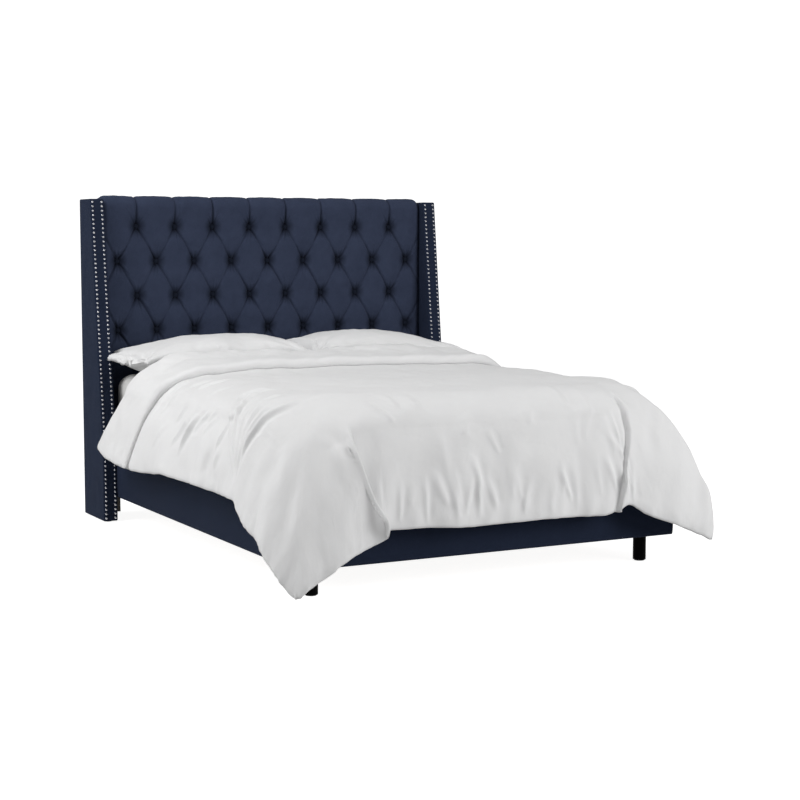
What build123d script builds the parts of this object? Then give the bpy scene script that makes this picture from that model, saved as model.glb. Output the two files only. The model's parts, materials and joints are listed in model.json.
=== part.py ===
from build123d import *
import math
import os

# An upholstered wingback bed with its mattress, sheet, pillows and duvet, in millimetres.
# X runs across the bed, Z is up, and the headboard stands at the +Y end. The origin lies on the
# floor under the middle of the whole object, so a distance in front of the headboard's back
# plane, called reach here, is turned into Y by the function from_back.

# Overall sizes of the bed frame
bed_length = 2190.0
wing_thickness = 64.0
wing_height = 1428.0
frame_side_gap = 1.5
rail_underside = 107.0
rail_depth = 254.0

# Mattress and the layers on it
mattress_side_gap = 43.5
mattress_end_gap = 5.85
mattress_thickness = 300.0
mattress_crown = 8.0
mattress_crown_inset = 230.0
mattress_corner = 70.0
mattress_top = 645.0
mattress_edge_shares = (
    (0.20, 0.0),
    (0.04, 0.09),
    (0.0, 0.26),
    (0.0, 0.78),
    (0.08, 0.90),
    (0.34, 0.975),
    (0.80, 1.0),
)
sheet_thickness = 3.0
sheet_tuck = 60.0
soft_gap = 0.3
rest_gap = 0.5

# Headboard build-up, from its back plane forwards
back_cloth_setback = 3.0
back_cloth_thickness = 1.0
back_cloth_underside = 60.0
stile_width = 93.0
frame_timber = 32.0
top_rail_height = 90.0
middle_rail_height = 80.0
middle_rail_underside = 755.0
bottom_rail_height = 135.0
bottom_rail_underside = 200.0
plywood_thickness = 9.0
front_foam = 50.0
top_foam = 26.0
cover_thickness = 3.0
panel_underside = 378.0
cover_drop = 4.0
cover_edge_radius = 32.0
panel_side_gap = 1.5

# Diamond tufting
row_end_gap = 72.7
row_pitch = 155.6
top_row_drop = 117.0
top_row_count = 8
row_count = 5
button_diameter = 22.0
button_height = 5.0
button_edge_radius = 2.0
puff_height = 29.0
puff_root = 2.0
puff_valley = 15.0
puff_tip_gap = 7.0
flute_rise = 18.0
flute_back_rise = 9.0
flute_back_setback = 12.0
lowest_puff_drop = 80.0

# Wings
wing_depth_top = 155.0
wing_depth_floor = 280.0
wing_bend_height = 300.0
wing_pad = 12.0
wing_edge_radius = 5.0
glide_height = 5.0
glide_diameter = 25.0
nail_diameter = 10.0
nail_rise = 3.0
nail_edge_distance = 11.0
nail_pitch = 19.4
nail_end_distance = 14.0

# Rails and footboard
board_thickness = 25.0
rail_pad_side = 12.0
rail_pad_top = 6.0
rail_pad_bottom = 4.0
foot_pad_front = 8.0
foot_pad_end = 10.0

# Slat support
slat_count = 10
slat_width = 90.0
slat_thickness = 20.0
slat_end_gap = 2.0
first_slat_reach = 190.0
last_slat_inset = 72.0
ledger_width = 30.0
ledger_height = 40.0
ledger_end_gap = 20.0
beam_width = 60.0
beam_height = 70.0
hanger_sheet = 3.0
hanger_length = 45.0
hanger_plate_width = 110.0
centre_leg_count = 3
centre_leg_diameter = 38.0
first_centre_leg_reach = 480.0
last_centre_leg_inset = 557.0
leveller_diameter = 42.0
leveller_height = 8.0
leveller_travel = 12.0
leveller_stud_diameter = 8.0
leveller_stud_length = 45.0
leveller_shoulder_gap = 1.0
thread_gap = 0.3

# Legs under the foot end
leg_diameter = 50.8
leg_inset_side = 95.5
leg_inset_foot = 91.0
leg_glide_height = 4.0
leg_glide_diameter = 40.0
leg_stud_diameter = 8.0
leg_stud_length = 22.0
corner_block_size = 117.0
corner_block_height = 28.0

# Steel brackets and fasteners
bracket_sheet = 4.0
bracket_flange = 80.0
bracket_height = 120.0
bracket_underside = 145.0
bolt_diameter = 8.0
bolt_head_diameter = 13.0
bolt_head_height = 5.0
bolt_length = 24.0
bolt_edge_distance = 22.0
wing_bolt_grip = 30.0
lowest_wing_bolt = 150.0
wing_bolt_top_drop = 145.0
wing_bolt_shares = (0.0, 0.3364, 0.6818, 1.0)
screw_diameter = 5.0
screw_length = 35.0

# Pillows: two lie side by side, and their length sets how wide the mattress and the bed are
pillow_length = 765.0
pillow_overhang = 11.0
pillow_width = 500.0
pillow_height = 172.0
pillow_seam_height = 52.0
pillow_sag = 9.0
pillow_between = 16.0
pillow_headboard_gap = 8.0
pillow_shares = (
    (-1.0, 0.84, 0.10),
    (-0.95, 0.99, 0.34),
    (-0.72, 0.985, 0.74),
    (-0.36, 0.965, 0.95),
    (0.0, 0.96, 1.0),
    (0.36, 0.965, 0.95),
    (0.72, 0.985, 0.74),
    (0.95, 0.99, 0.34),
    (1.0, 0.84, 0.10),
)

# Duvet: a slab on the mattress and a skirt that hangs round three sides of it. Each row of the
# skirt gives where it stands along its side, the way it faces in degrees from straight out
# (minus towards the headboard), how far out its hem is and how high its hem is.
duvet_thickness = 43.0
duvet_hem_thickness = 20.0
duvet_band_rise = 42.0
duvet_band_width = 295.0
duvet_band_step = 14.0
duvet_head_gap = 12.0
duvet_side_gap = 3.0
duvet_crown = 9.0
duvet_crown_end_share = 0.6
duvet_crown_corner_share = 0.8
duvet_rim_inset = 162.0
duvet_rim_corner = 100.0
duvet_rim_lap = 25.0
duvet_corner_ease = 34.0
duvet_rim_step = 1.5
duvet_reach = 350.0
duvet_shoulder_margin = 90.0
duvet_shoulder_height = 585.0
duvet_bend_out_share = 0.62
duvet_bend_drop_share = 0.26
duvet_inner_bend_share = 0.08
duvet_band_side_rise = 24.0
duvet_head_shares = (-60.0, 0.80, 0.51)
duvet_band_middle_share = 0.42
duvet_left_band_shares = (-38.0, 0.52, 0.455)
duvet_right_band_shares = (-36.0, 0.51, 0.460)
duvet_band_end_shares = (-24.0, 1.02, 0.425)
duvet_left_shares = (
    (0.15, -14.0, 0.93, 0.415),
    (0.305, -8.0, 1.00, 0.440),
    (0.46, -3.0, 0.91, 0.420),
    (0.615, 0.0, 1.00, 0.450),
    (0.80, 0.0, 0.92, 0.430),
    (1.0, 0.0, 0.99, 0.450),
)
duvet_right_shares = (
    (0.17, -14.0, 0.93, 0.430),
    (0.34, -8.0, 0.99, 0.450),
    (0.52, -2.0, 0.91, 0.425),
    (0.75, 0.0, 1.00, 0.440),
    (1.0, 0.0, 0.94, 0.420),
)
duvet_left_corner_shares = (
    (20.0, 1.10, 0.360),
    (36.0, 1.24, 0.200),
    (50.0, 1.33, 0.056),
    (72.0, 1.04, 0.235),
)
duvet_right_corner_shares = (
    (20.0, 1.09, 0.380),
    (36.0, 1.23, 0.235),
    (50.0, 1.32, 0.132),
    (72.0, 1.04, 0.310),
)
duvet_foot_shares = (
    (-1.0, 0.90, 0.31),
    (-0.68, 0.88, 0.345),
    (-0.36, 0.94, 0.352),
    (-0.04, 0.87, 0.338),
    (0.30, 0.94, 0.345),
    (0.62, 0.87, 0.360),
    (0.86, 0.95, 0.375),
    (1.0, 0.86, 0.425),
)

# Sizes worked out from those above
mattress_width = pillow_between + 2 * (pillow_length - pillow_overhang)
clear_width = mattress_width + 2 * mattress_side_gap
frame_width = clear_width - 2 * frame_side_gap
frame_half = frame_width / 2
clear_half = clear_width / 2
rail_top = rail_underside + rail_depth
board_front = back_cloth_setback + back_cloth_thickness
timber_front = board_front + frame_timber
plywood_front = timber_front + plywood_thickness
foam_front = plywood_front + front_foam
cover_front = foam_front + cover_thickness
puff_front = cover_front + puff_height
cover_top = wing_height - cover_drop
foam_top = cover_top - cover_thickness
timber_top = foam_top - top_foam
wing_bolt_rise = timber_top - wing_bolt_top_drop - lowest_wing_bolt
wing_bolt_heights = [lowest_wing_bolt + share * wing_bolt_rise for share in wing_bolt_shares]
top_row_height = cover_top - top_row_drop
button_pitch = (clear_width - 2 * row_end_gap) / top_row_count
panel_half = clear_half - panel_side_gap
stile_inner = panel_half - stile_width
rail_board_outer = frame_half - rail_pad_side
rail_board_inner = rail_board_outer - board_thickness
foot_board_inner = bed_length - foot_pad_front - board_thickness
mattress_bottom = mattress_top - mattress_thickness
slat_top = mattress_bottom - soft_gap - sheet_thickness - rest_gap
slat_underside = slat_top - slat_thickness
last_slat_reach = foot_board_inner - last_slat_inset
last_centre_leg_reach = foot_board_inner - last_centre_leg_inset
mattress_foot = foot_board_inner - mattress_end_gap
mattress_head = puff_front + soft_gap + mattress_end_gap
mattress_length = mattress_foot - mattress_head
bedding_floor = mattress_top + mattress_crown + soft_gap + sheet_thickness + rest_gap
pillow_front = mattress_head - sheet_thickness + pillow_headboard_gap + pillow_width
duvet_head = pillow_front + duvet_head_gap
duvet_head_half = pillow_between / 2 + pillow_length + duvet_side_gap
duvet_band_end = duvet_head + duvet_band_width
rim_half = mattress_width / 2 - duvet_rim_inset
rim_corner_half = rim_half - duvet_rim_corner
rim_foot = mattress_foot - duvet_rim_inset
rim_corner_reach = rim_foot - duvet_rim_corner
corner_shares = duvet_left_corner_shares + duvet_right_corner_shares
hem_places = [(turn, duvet_rim_corner + duvet_reach * hem) for turn, hem, height in corner_shares]
foot_hem_share = max(hem for share, hem, height in duvet_foot_shares)
hem_spans = [out * math.sin(math.radians(turn)) for turn, out in hem_places]
hem_spans.append(duvet_rim_corner + duvet_reach * foot_hem_share)
overall_length = rim_corner_reach + max(hem_spans)
head_y = overall_length / 2
overrun = wing_thickness

nodes = {}


def from_back(reach):
    """Y of a place that lies this far in front of the headboard's back plane."""
    return head_y - reach


def block(x_low, x_high, reach_low, reach_high, z_low, z_high):
    """Plain rectangular piece between two places along each direction."""
    middle = Pos((x_low + x_high) / 2, from_back((reach_low + reach_high) / 2), (z_low + z_high) / 2)
    return middle * Box(x_high - x_low, reach_high - reach_low, z_high - z_low)


def side_block(side, near, far, reach_low, reach_high, z_low, z_high):
    """Rectangular piece on one side of the bed, from near to far from the middle."""
    ends = sorted((side * near, side * far))
    return block(ends[0], ends[1], reach_low, reach_high, z_low, z_high)


def upright(x, reach, z_low, height, diameter):
    """Round piece that stands on z_low."""
    return Pos(x, from_back(reach), z_low + height / 2) * Cylinder(diameter / 2, height)


def across(x_start, length, side, reach, z, diameter):
    """Round piece that runs from x_start outwards on one side of the bed."""
    middle = Pos(x_start + side * length / 2, from_back(reach), z)
    return middle * Rot(0, 90, 0) * Cylinder(diameter / 2, length)


def along(x, reach_start, length, z, diameter):
    """Round piece that runs from reach_start towards the foot of the bed."""
    middle = Pos(x, from_back(reach_start + length / 2), z)
    return middle * Rot(90, 0, 0) * Cylinder(diameter / 2, length)


def side_profile(points, x_low, width):
    """Extrude an outline drawn in reach and height across the bed."""
    outline = [Vector(x_low, from_back(reach), height) for reach, height in points]
    face = Face(Wire.make_polygon(outline, close=True))
    return Solid.extrude(face, Vector(width, 0, 0))


def headboard_frame():
    """Timber frame of the headboard: two stiles that reach the floor and three rails."""
    for name, side in (("left", -1), ("right", 1)):
        stile = side_block(side, stile_inner, panel_half, board_front, timber_front, glide_height, timber_top)
        for height in wing_bolt_heights:
            stile -= across(side * stile_inner, stile_width, side, (board_front + timber_front) / 2,
                            height, bolt_diameter)
        for x, z in head_bolt_places(side):
            stile -= along(x, board_front, frame_timber, z, bolt_diameter)
        nodes["headboard_stile_" + name] = stile
    rails = (
        ("headboard_top_rail", timber_top - top_rail_height, top_rail_height),
        ("headboard_middle_rail", middle_rail_underside, middle_rail_height),
        ("headboard_bottom_rail", bottom_rail_underside, bottom_rail_height),
    )
    for name, low, height in rails:
        nodes[name] = block(-stile_inner, stile_inner, board_front, timber_front, low, low + height)


def headboard_panel():
    """Plywood face, foam and back cloth of the headboard."""
    nodes["headboard_plywood"] = block(-panel_half, panel_half, timber_front, plywood_front,
                                       panel_underside, timber_top)
    nodes["headboard_back_cloth"] = block(-panel_half, panel_half, back_cloth_setback, board_front,
                                          back_cloth_underside, cover_top)
    foam_outer = side_shell(foam_front, foam_top, cover_edge_radius - cover_thickness)
    frame_space = block(-panel_half, panel_half, board_front, plywood_front, panel_underside, timber_top)
    nodes["headboard_foam"] = foam_outer - frame_space


def side_shell(front, top, radius):
    """Body that fills the headboard from its frame to front and top, with a rounded top edge."""
    low_back = Vector(-panel_half, from_back(board_front), panel_underside)
    low_front = Vector(-panel_half, from_back(front), panel_underside)
    arc_low = Vector(-panel_half, from_back(front), top - radius)
    arc_high = Vector(-panel_half, from_back(front - radius), top)
    back_high = Vector(-panel_half, from_back(board_front), top)
    slope = radius * math.sin(math.radians(45))
    arc_middle = Vector(-panel_half, from_back(front - radius + slope), top - radius + slope)
    edges = [
        Edge.make_line(low_back, low_front),
        Edge.make_line(low_front, arc_low),
        Edge.make_three_point_arc(arc_low, arc_middle, arc_high),
        Edge.make_line(arc_high, back_high),
        Edge.make_line(back_high, low_back),
    ]
    return Solid.extrude(Face(Wire(edges)), Vector(2 * panel_half, 0, 0))


def row_height(row):
    """Height of a row of buttons, counted down from the top row."""
    return top_row_height - row * row_pitch


def row_places(row):
    """X of each button in a row: rows alternate between top_row_count and one more."""
    count = top_row_count + row % 2
    return [(k - (count - 1) / 2) * button_pitch for k in range(count)]


def bulge(left, right, base, crest, outward, across_axis):
    """Closed line and arc: a chord from left to right, and an arc that rises outward from it.

    base is the chord's point on the middle, outward the direction in which it rises.
    """
    start = base + across_axis * left
    end = base + across_axis * right
    middle = base + across_axis * ((left + right) / 2) + outward * crest
    return Wire([Edge.make_three_point_arc(start, middle, end), Edge.make_line(end, start)])


def diamond_puff(left, right, z, tip_low, tip_high):
    """One tuft between four buttons: widest at z, running out to a point above and below."""
    root = cover_front - puff_root
    x_axis = Vector(1, 0, 0)
    forward = Vector(0, -1, 0)
    middle = bulge(left, right, Vector(0, from_back(root), z), puff_height + puff_root, forward, x_axis)
    low = Vertex(tip_low[0], from_back(root), tip_low[1])
    high = Vertex(tip_high[0], from_back(root), tip_high[1])
    return Solid.make_loft([low, middle, high], ruled=True)


def top_flute(left, right, tip):
    """One tuft above the top row of buttons, which rolls back over the headboard's top edge."""
    root = cover_front - puff_root
    x_axis = Vector(1, 0, 0)
    crest = puff_height + puff_root
    diagonal = Vector(0, -1, 1).normalized()
    corner_reach = cover_front - cover_edge_radius
    corner_height = cover_top - cover_edge_radius
    corner_out = cover_edge_radius - puff_root
    corner = Vector(0, from_back(corner_reach), corner_height) + diagonal * corner_out
    top_root = cover_top - puff_root
    sections = [
        Vertex(tip[0], from_back(root), tip[1]),
        bulge(left, right, Vector(0, from_back(root), top_row_height), crest, Vector(0, -1, 0), x_axis),
        bulge(left, right, Vector(0, from_back(root), corner_height), crest, Vector(0, -1, 0), x_axis),
        bulge(left, right, corner, (crest + flute_rise) / 2, diagonal, x_axis),
        bulge(left, right, Vector(0, from_back(corner_reach), top_root), flute_rise + puff_root,
              Vector(0, 0, 1), x_axis),
        bulge(left, right, Vector(0, from_back(board_front + flute_back_setback), top_root),
              flute_back_rise + puff_root, Vector(0, 0, 1), x_axis),
    ]
    return Solid.make_loft(sections, ruled=True)


def tufted_cover():
    """Headboard cover with its diamond tufts, edge tufts and the flutes over its top edge."""
    outer = side_shell(cover_front, cover_top, cover_edge_radius)
    inner = side_shell(foam_front, foam_top, cover_edge_radius - cover_thickness)
    panel_edge = panel_half - puff_valley / 2
    puffs = []
    for row in range(row_count):
        z = row_height(row)
        places = row_places(row)
        spans = [(a + puff_valley, b - puff_valley) for a, b in zip(places[:-1], places[1:])]
        if row % 2 == 0:
            spans.insert(0, (-panel_edge, places[0] - puff_valley))
            spans.append((places[-1] + puff_valley, panel_edge))
        for left, right in spans:
            middle = (left + right) / 2
            low_drop = lowest_puff_drop if row == row_count - 1 else row_pitch - puff_tip_gap
            low = (middle, z - low_drop)
            if row == 0:
                puffs.append(top_flute(left, right, low))
            else:
                puffs.append(diamond_puff(left, right, z, low, (middle, z + row_pitch - puff_tip_gap)))
    nodes["headboard_tufted_cover"] = outer.fuse(*puffs) - inner


def tufting_buttons():
    """Covered buttons in the valleys of the tufting."""
    button = Cylinder(button_diameter / 2, button_height)
    button = fillet(button.faces().sort_by(Axis.Z)[-1].edges(), button_edge_radius)
    seat = cover_front + button_height / 2
    buttons = []
    for row in range(row_count):
        for x in row_places(row):
            buttons.append(Pos(x, from_back(seat), row_height(row)) * Rot(90, 0, 0) * button)
    nodes["tufting_buttons"] = Compound(children=buttons)


def wing_outline(inset):
    """Side outline of a wing, drawn in by inset at its front and top."""
    slope = math.atan2(wing_depth_floor - wing_depth_top, wing_height - wing_bend_height)
    bend_drop = inset * math.tan(slope / 2)
    top_shift = inset * math.tan(slope)
    front_top = wing_depth_top - inset / math.cos(slope) + top_shift
    return (
        (0, glide_height),
        (wing_depth_floor - inset, glide_height),
        (wing_depth_floor - inset, wing_bend_height - bend_drop),
        (front_top, wing_height - inset),
        (0, wing_height - inset),
    )


def wing(name, side):
    """Wing: a timber core and the padded cover pulled over its front, top and both faces."""
    low = min(side * clear_half, side * (clear_half + wing_thickness))
    outer = side_profile(wing_outline(0), low, wing_thickness)
    core = side_profile(wing_outline(wing_pad), low + wing_pad, wing_thickness - 2 * wing_pad)
    front_edges = [e for e in outer.edges() if is_wing_front_edge(e)]
    cover = fillet(front_edges, wing_edge_radius) - core
    for height in wing_bolt_heights:
        reach = (board_front + timber_front) / 2
        cover -= across(side * clear_half, wing_pad, side, reach, height, bolt_diameter)
        core -= across(side * (clear_half + wing_pad), wing_bolt_grip, side, reach, height, bolt_diameter)
    nodes["wing_core_" + name] = core
    nodes["wing_cover_" + name] = cover


def is_wing_front_edge(edge):
    """True for the long edges of a wing's front face and the edges across its top."""
    middle = edge.center()
    low_front = from_back(wing_depth_floor)
    on_bottom = abs(middle.Z - glide_height) < wing_edge_radius
    on_back = abs(middle.Y - from_back(0)) < wing_edge_radius
    across_bend = edge.length < wing_thickness + wing_edge_radius and middle.Z < wing_bend_height
    runs_down = edge.bounding_box().size.Z > wing_pad
    return runs_down and not on_bottom and not on_back and not across_bend and middle.Y > low_front - overrun


def nailheads(name, side):
    """Two rows of domed nailheads down the front face of a wing."""
    profile_radius = ((nail_diameter / 2) ** 2 + nail_rise ** 2) / (2 * nail_rise)
    ball = Pos(0, 0, nail_rise - profile_radius) * Sphere(profile_radius)
    head = ball & Pos(0, 0, nail_rise / 2) * Box(nail_diameter, nail_diameter, nail_rise)
    slope = math.atan2(wing_depth_floor - wing_depth_top, wing_height - wing_bend_height)
    sloped_length = math.hypot(wing_depth_floor - wing_depth_top, wing_height - wing_bend_height)
    straight_length = wing_bend_height - glide_height
    total = straight_length + sloped_length - 2 * nail_end_distance
    count = int(total / nail_pitch) + 1
    heads = []
    for k in range(count):
        travel = nail_end_distance + k * total / (count - 1)
        if travel <= straight_length:
            reach, z, tilt = wing_depth_floor, glide_height + travel, 0
        else:
            rest = travel - straight_length
            reach = wing_depth_floor - rest * math.sin(slope)
            z = wing_bend_height + rest * math.cos(slope)
            tilt = slope
        for inset in (nail_edge_distance, wing_thickness - nail_edge_distance):
            x = side * (clear_half + inset)
            turn = Rot(90 - math.degrees(tilt), 0, 0)
            heads.append(Pos(x, from_back(reach), z) * turn * head)
    nodes["nailheads_" + name] = Compound(children=heads)


def head_bolt_places(side):
    """X and Z of the bolts that hold a head bracket to its stile."""
    x = side * (rail_board_inner - bracket_flange / 2)
    low = bracket_underside + bolt_edge_distance
    high = bracket_underside + bracket_height - bolt_edge_distance
    return [(x, low), (x, high)]


def flange_bolt_places(start):
    """Reach and Z of the bolts that hold a bracket's flange to a side rail."""
    low = bracket_underside + bolt_edge_distance
    high = bracket_underside + bracket_height - bolt_edge_distance
    return [(start, low), (start, high)]


def side_rail(name, side):
    """Side rail: a board and the padded cover that wraps its outer face, top and bottom."""
    board = side_block(side, rail_board_inner, rail_board_outer, timber_front + bracket_sheet,
                       foot_board_inner, rail_underside + rail_pad_bottom, rail_top - rail_pad_top)
    cover = side_block(side, rail_board_inner, frame_half, timber_front + bracket_sheet, foot_board_inner,
                       rail_underside, rail_top) - board
    for reach in rail_bolt_reaches():
        for r, z in flange_bolt_places(reach):
            board -= across(side * rail_board_inner, bolt_length - bracket_sheet, side, r, z, bolt_diameter)
    nodes["side_rail_board_" + name] = board
    nodes["side_rail_cover_" + name] = cover


def rail_bolt_reaches():
    """Reach of the bolts through the head bracket's and the corner bracket's flanges."""
    inset = bracket_sheet + bracket_flange / 2
    return timber_front + inset, foot_board_inner - inset


def footboard():
    """Low footboard: a board and the padded cover round its front, ends, top and bottom."""
    half = frame_half - foot_pad_end
    board = block(-half, half, foot_board_inner, foot_board_inner + board_thickness,
                  rail_underside + rail_pad_bottom, rail_top - rail_pad_top)
    cover = block(-frame_half, frame_half, foot_board_inner, bed_length, rail_underside, rail_top) - board
    for side in (-1, 1):
        for x, z in head_bolt_places(side):
            board -= along(x, foot_board_inner, bolt_length - bracket_sheet, z, bolt_diameter)
    nodes["footboard_board"] = board
    nodes["footboard_cover"] = cover


def brackets(name, side):
    """Steel angle brackets that join each rail to the headboard and to the footboard."""
    z_low = bracket_underside
    z_high = bracket_underside + bracket_height
    inner = rail_board_inner - bracket_sheet
    plate_inner = rail_board_inner - bracket_flange
    depth = bracket_sheet + bracket_flange
    head_back = timber_front
    head_plate = side_block(side, plate_inner, rail_board_outer, head_back, head_back + bracket_sheet,
                            z_low, z_high)
    head_flange = side_block(side, inner, rail_board_inner, head_back, head_back + depth, z_low, z_high)
    head = head_plate + head_flange
    foot_plate = side_block(side, plate_inner, rail_board_inner, foot_board_inner - bracket_sheet,
                            foot_board_inner, z_low, z_high)
    foot_flange = side_block(side, inner, rail_board_inner, foot_board_inner - depth, foot_board_inner,
                             z_low, z_high)
    foot = foot_plate + foot_flange
    for x, z in head_bolt_places(side):
        head -= along(x, head_back, bracket_sheet, z, bolt_diameter)
        foot -= along(x, foot_board_inner - bracket_sheet, bracket_sheet, z, bolt_diameter)
    head_reach, foot_reach = rail_bolt_reaches()
    for r, z in flange_bolt_places(head_reach):
        head -= across(side * inner, bracket_sheet, side, r, z, bolt_diameter)
    for r, z in flange_bolt_places(foot_reach):
        foot -= across(side * inner, bracket_sheet, side, r, z, bolt_diameter)
    nodes["head_bracket_" + name] = head
    nodes["corner_bracket_" + name] = foot


def frame_bolts():
    """Short bolts of the brackets, and the long bolts that hold the wings to the stiles."""
    bolts = []
    inner = rail_board_inner - bracket_sheet
    for side in (-1, 1):
        for x, z in head_bolt_places(side):
            front = timber_front + bracket_sheet
            shank = along(x, front - bolt_length, bolt_length, z, bolt_diameter)
            bolts.append(shank + along(x, front, bolt_head_height, z, bolt_head_diameter))
            seat = foot_board_inner - bracket_sheet
            shank = along(x, seat, bolt_length, z, bolt_diameter)
            bolts.append(shank + along(x, seat - bolt_head_height, bolt_head_height, z, bolt_head_diameter))
        for reach in rail_bolt_reaches():
            for r, z in flange_bolt_places(reach):
                shank = across(side * inner, bolt_length, side, r, z, bolt_diameter)
                head = across(side * (inner - bolt_head_height), bolt_head_height, side, r, z,
                              bolt_head_diameter)
                bolts.append(shank + head)
    nodes["bracket_bolts"] = Compound(children=bolts)
    long_bolts = []
    reach = (board_front + timber_front) / 2
    grip = clear_half + wing_pad + wing_bolt_grip - stile_inner
    for side in (-1, 1):
        for height in wing_bolt_heights:
            shank = across(side * stile_inner, grip, side, reach, height, bolt_diameter)
            head = across(side * (stile_inner - bolt_head_height), bolt_head_height, side, reach, height,
                          bolt_head_diameter)
            long_bolts.append(shank + head)
    nodes["wing_bolts"] = Compound(children=long_bolts)


def legs(name, side):
    """Turned leg under a foot corner, and the block that its stud screws into."""
    x = side * (frame_half - leg_inset_side)
    reach = bed_length - leg_inset_foot
    block_inner = rail_board_inner - corner_block_size
    corner_block = side_block(side, block_inner, rail_board_inner, foot_board_inner - corner_block_size,
                              foot_board_inner, rail_underside, rail_underside + corner_block_height)
    stud = upright(x, reach, rail_underside, leg_stud_length, leg_stud_diameter)
    nodes["corner_block_" + name] = corner_block - stud
    nodes["front_leg_" + name] = upright(x, reach, leg_glide_height, rail_underside - leg_glide_height,
                                         leg_diameter) + stud


def glides():
    """Plastic glides under the legs, the stiles and the wings."""
    pads = []
    wing_middle = clear_half + wing_thickness / 2
    stile_middle = (stile_inner + panel_half) / 2
    for side in (-1, 1):
        pads.append(upright(side * (frame_half - leg_inset_side), bed_length - leg_inset_foot, 0,
                            leg_glide_height, leg_glide_diameter))
        pads.append(upright(side * stile_middle, (board_front + timber_front) / 2, 0, glide_height,
                            glide_diameter))
        for reach in (glide_diameter, wing_depth_floor - wing_pad - glide_diameter):
            pads.append(upright(side * wing_middle, reach, 0, glide_height, glide_diameter))
    nodes["glides"] = Compound(children=pads)


def slat_reaches():
    """Reach of each slat's middle."""
    step = (last_slat_reach - first_slat_reach) / (slat_count - 1)
    return [first_slat_reach + k * step for k in range(slat_count)]


def slat_screw_places():
    """X and reach of the screws that hold the slats to the ledgers."""
    x = rail_board_inner - ledger_width / 2
    return [(side * x, reach) for reach in slat_reaches() for side in (-1, 1)]


def slat_support():
    """Ledgers on the rails, slats across them, and the screws that hold them down."""
    screws = [upright(x, reach, slat_top - screw_length, screw_length, screw_diameter)
              for x, reach in slat_screw_places()]
    for name, side in (("left", -1), ("right", 1)):
        ledger = side_block(side, rail_board_inner - ledger_width, rail_board_inner,
                            timber_front + bracket_sheet + ledger_end_gap, foot_board_inner - ledger_end_gap,
                            slat_underside - ledger_height, slat_underside)
        for screw in screws:
            if side * screw.center().X > 0:
                ledger -= screw
        nodes["ledger_" + name] = ledger
    half = rail_board_inner - slat_end_gap
    for number, reach in enumerate(slat_reaches(), start=1):
        slat = block(-half, half, reach - slat_width / 2, reach + slat_width / 2, slat_underside, slat_top)
        for screw in screws[2 * number - 2:2 * number]:
            slat -= screw
        nodes[f"slat_{number:02d}"] = slat
    nodes["slat_screws"] = Compound(children=screws)


def beam_hanger(name, face, outward):
    """Steel stirrup that carries one end of the centre beam, on a face that looks outward."""
    low = slat_underside - beam_height
    plate = sorted((face, face + outward * hanger_sheet))
    cradle = sorted((face, face + outward * hanger_length))
    wide = beam_width / 2 + hanger_sheet
    stirrup = block(-hanger_plate_width / 2, hanger_plate_width / 2, plate[0], plate[1], low - hanger_sheet,
                    slat_underside)
    stirrup += block(-wide, wide, cradle[0], cradle[1], low - hanger_sheet, low)
    for side in (-1, 1):
        stirrup += side_block(side, beam_width / 2, wide, cradle[0], cradle[1], low - hanger_sheet,
                              slat_underside)
    nodes["beam_hanger_" + name] = stirrup


def centre_beam():
    """Centre beam under the slats, with its two hangers, its legs and their levelling feet."""
    low = slat_underside - beam_height
    beam_hanger("head", timber_front, 1)
    beam_hanger("foot", foot_board_inner, -1)
    nodes["centre_beam"] = block(-beam_width / 2, beam_width / 2, timber_front + hanger_sheet,
                                 foot_board_inner - hanger_sheet, low, slat_underside)
    leg_low = leveller_height + leveller_travel + leveller_shoulder_gap
    step = (last_centre_leg_reach - first_centre_leg_reach) / (centre_leg_count - 1)
    bore_depth = leveller_stud_length + leveller_shoulder_gap
    for number in range(1, centre_leg_count + 1):
        reach = first_centre_leg_reach + (number - 1) * step
        bore = upright(0, reach, leg_low, bore_depth, leveller_stud_diameter + 2 * thread_gap)
        nodes[f"centre_leg_{number}"] = upright(0, reach, leg_low, low - leg_low, centre_leg_diameter) - bore
        foot = upright(0, reach, 0, leveller_height, leveller_diameter)
        nodes[f"leveller_{number}"] = foot + upright(0, reach, leveller_height, leveller_stud_length,
                                                     leveller_stud_diameter)


def mattress_form(grow):
    """Mattress shape, grown all round by grow: drawn-in edges, rounded corners and a crown.

    Each level is a rounded rectangle, drawn in by a share of the corner radius at a share of
    the thickness; the last level is the small flat of the crown.
    """
    middle_reach = (mattress_head + mattress_foot) / 2
    levels = []
    for inset_share, height_share in mattress_edge_shares:
        level = mattress_bottom - grow + height_share * (mattress_thickness + 2 * grow)
        levels.append((inset_share * mattress_corner, level))
    levels.append((mattress_crown_inset, mattress_top + mattress_crown + grow))
    wires = []
    for inset, z in levels:
        wide = mattress_width - 2 * inset + 2 * grow
        long = mattress_length - 2 * inset + 2 * grow
        radius = mattress_corner + grow
        plane = Plane(origin=(0, from_back(middle_reach), z))
        wires.append((plane * RectangleRounded(wide, long, radius)).face().outer_wire())
    return Solid.make_loft(wires, ruled=True)


def mattress_and_sheet():
    """Mattress, and the fitted sheet that wraps it and tucks in underneath."""
    nodes["mattress"] = mattress_form(0)
    hollow = mattress_form(soft_gap)
    opening_inset = sheet_tuck + mattress_corner
    half = mattress_width / 2 - opening_inset
    opening = block(-half, half, mattress_head + opening_inset, mattress_foot - opening_inset,
                    mattress_bottom - sheet_thickness - overrun, mattress_bottom + overrun)
    nodes["fitted_sheet"] = mattress_form(soft_gap + sheet_thickness) - hollow - opening


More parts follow.
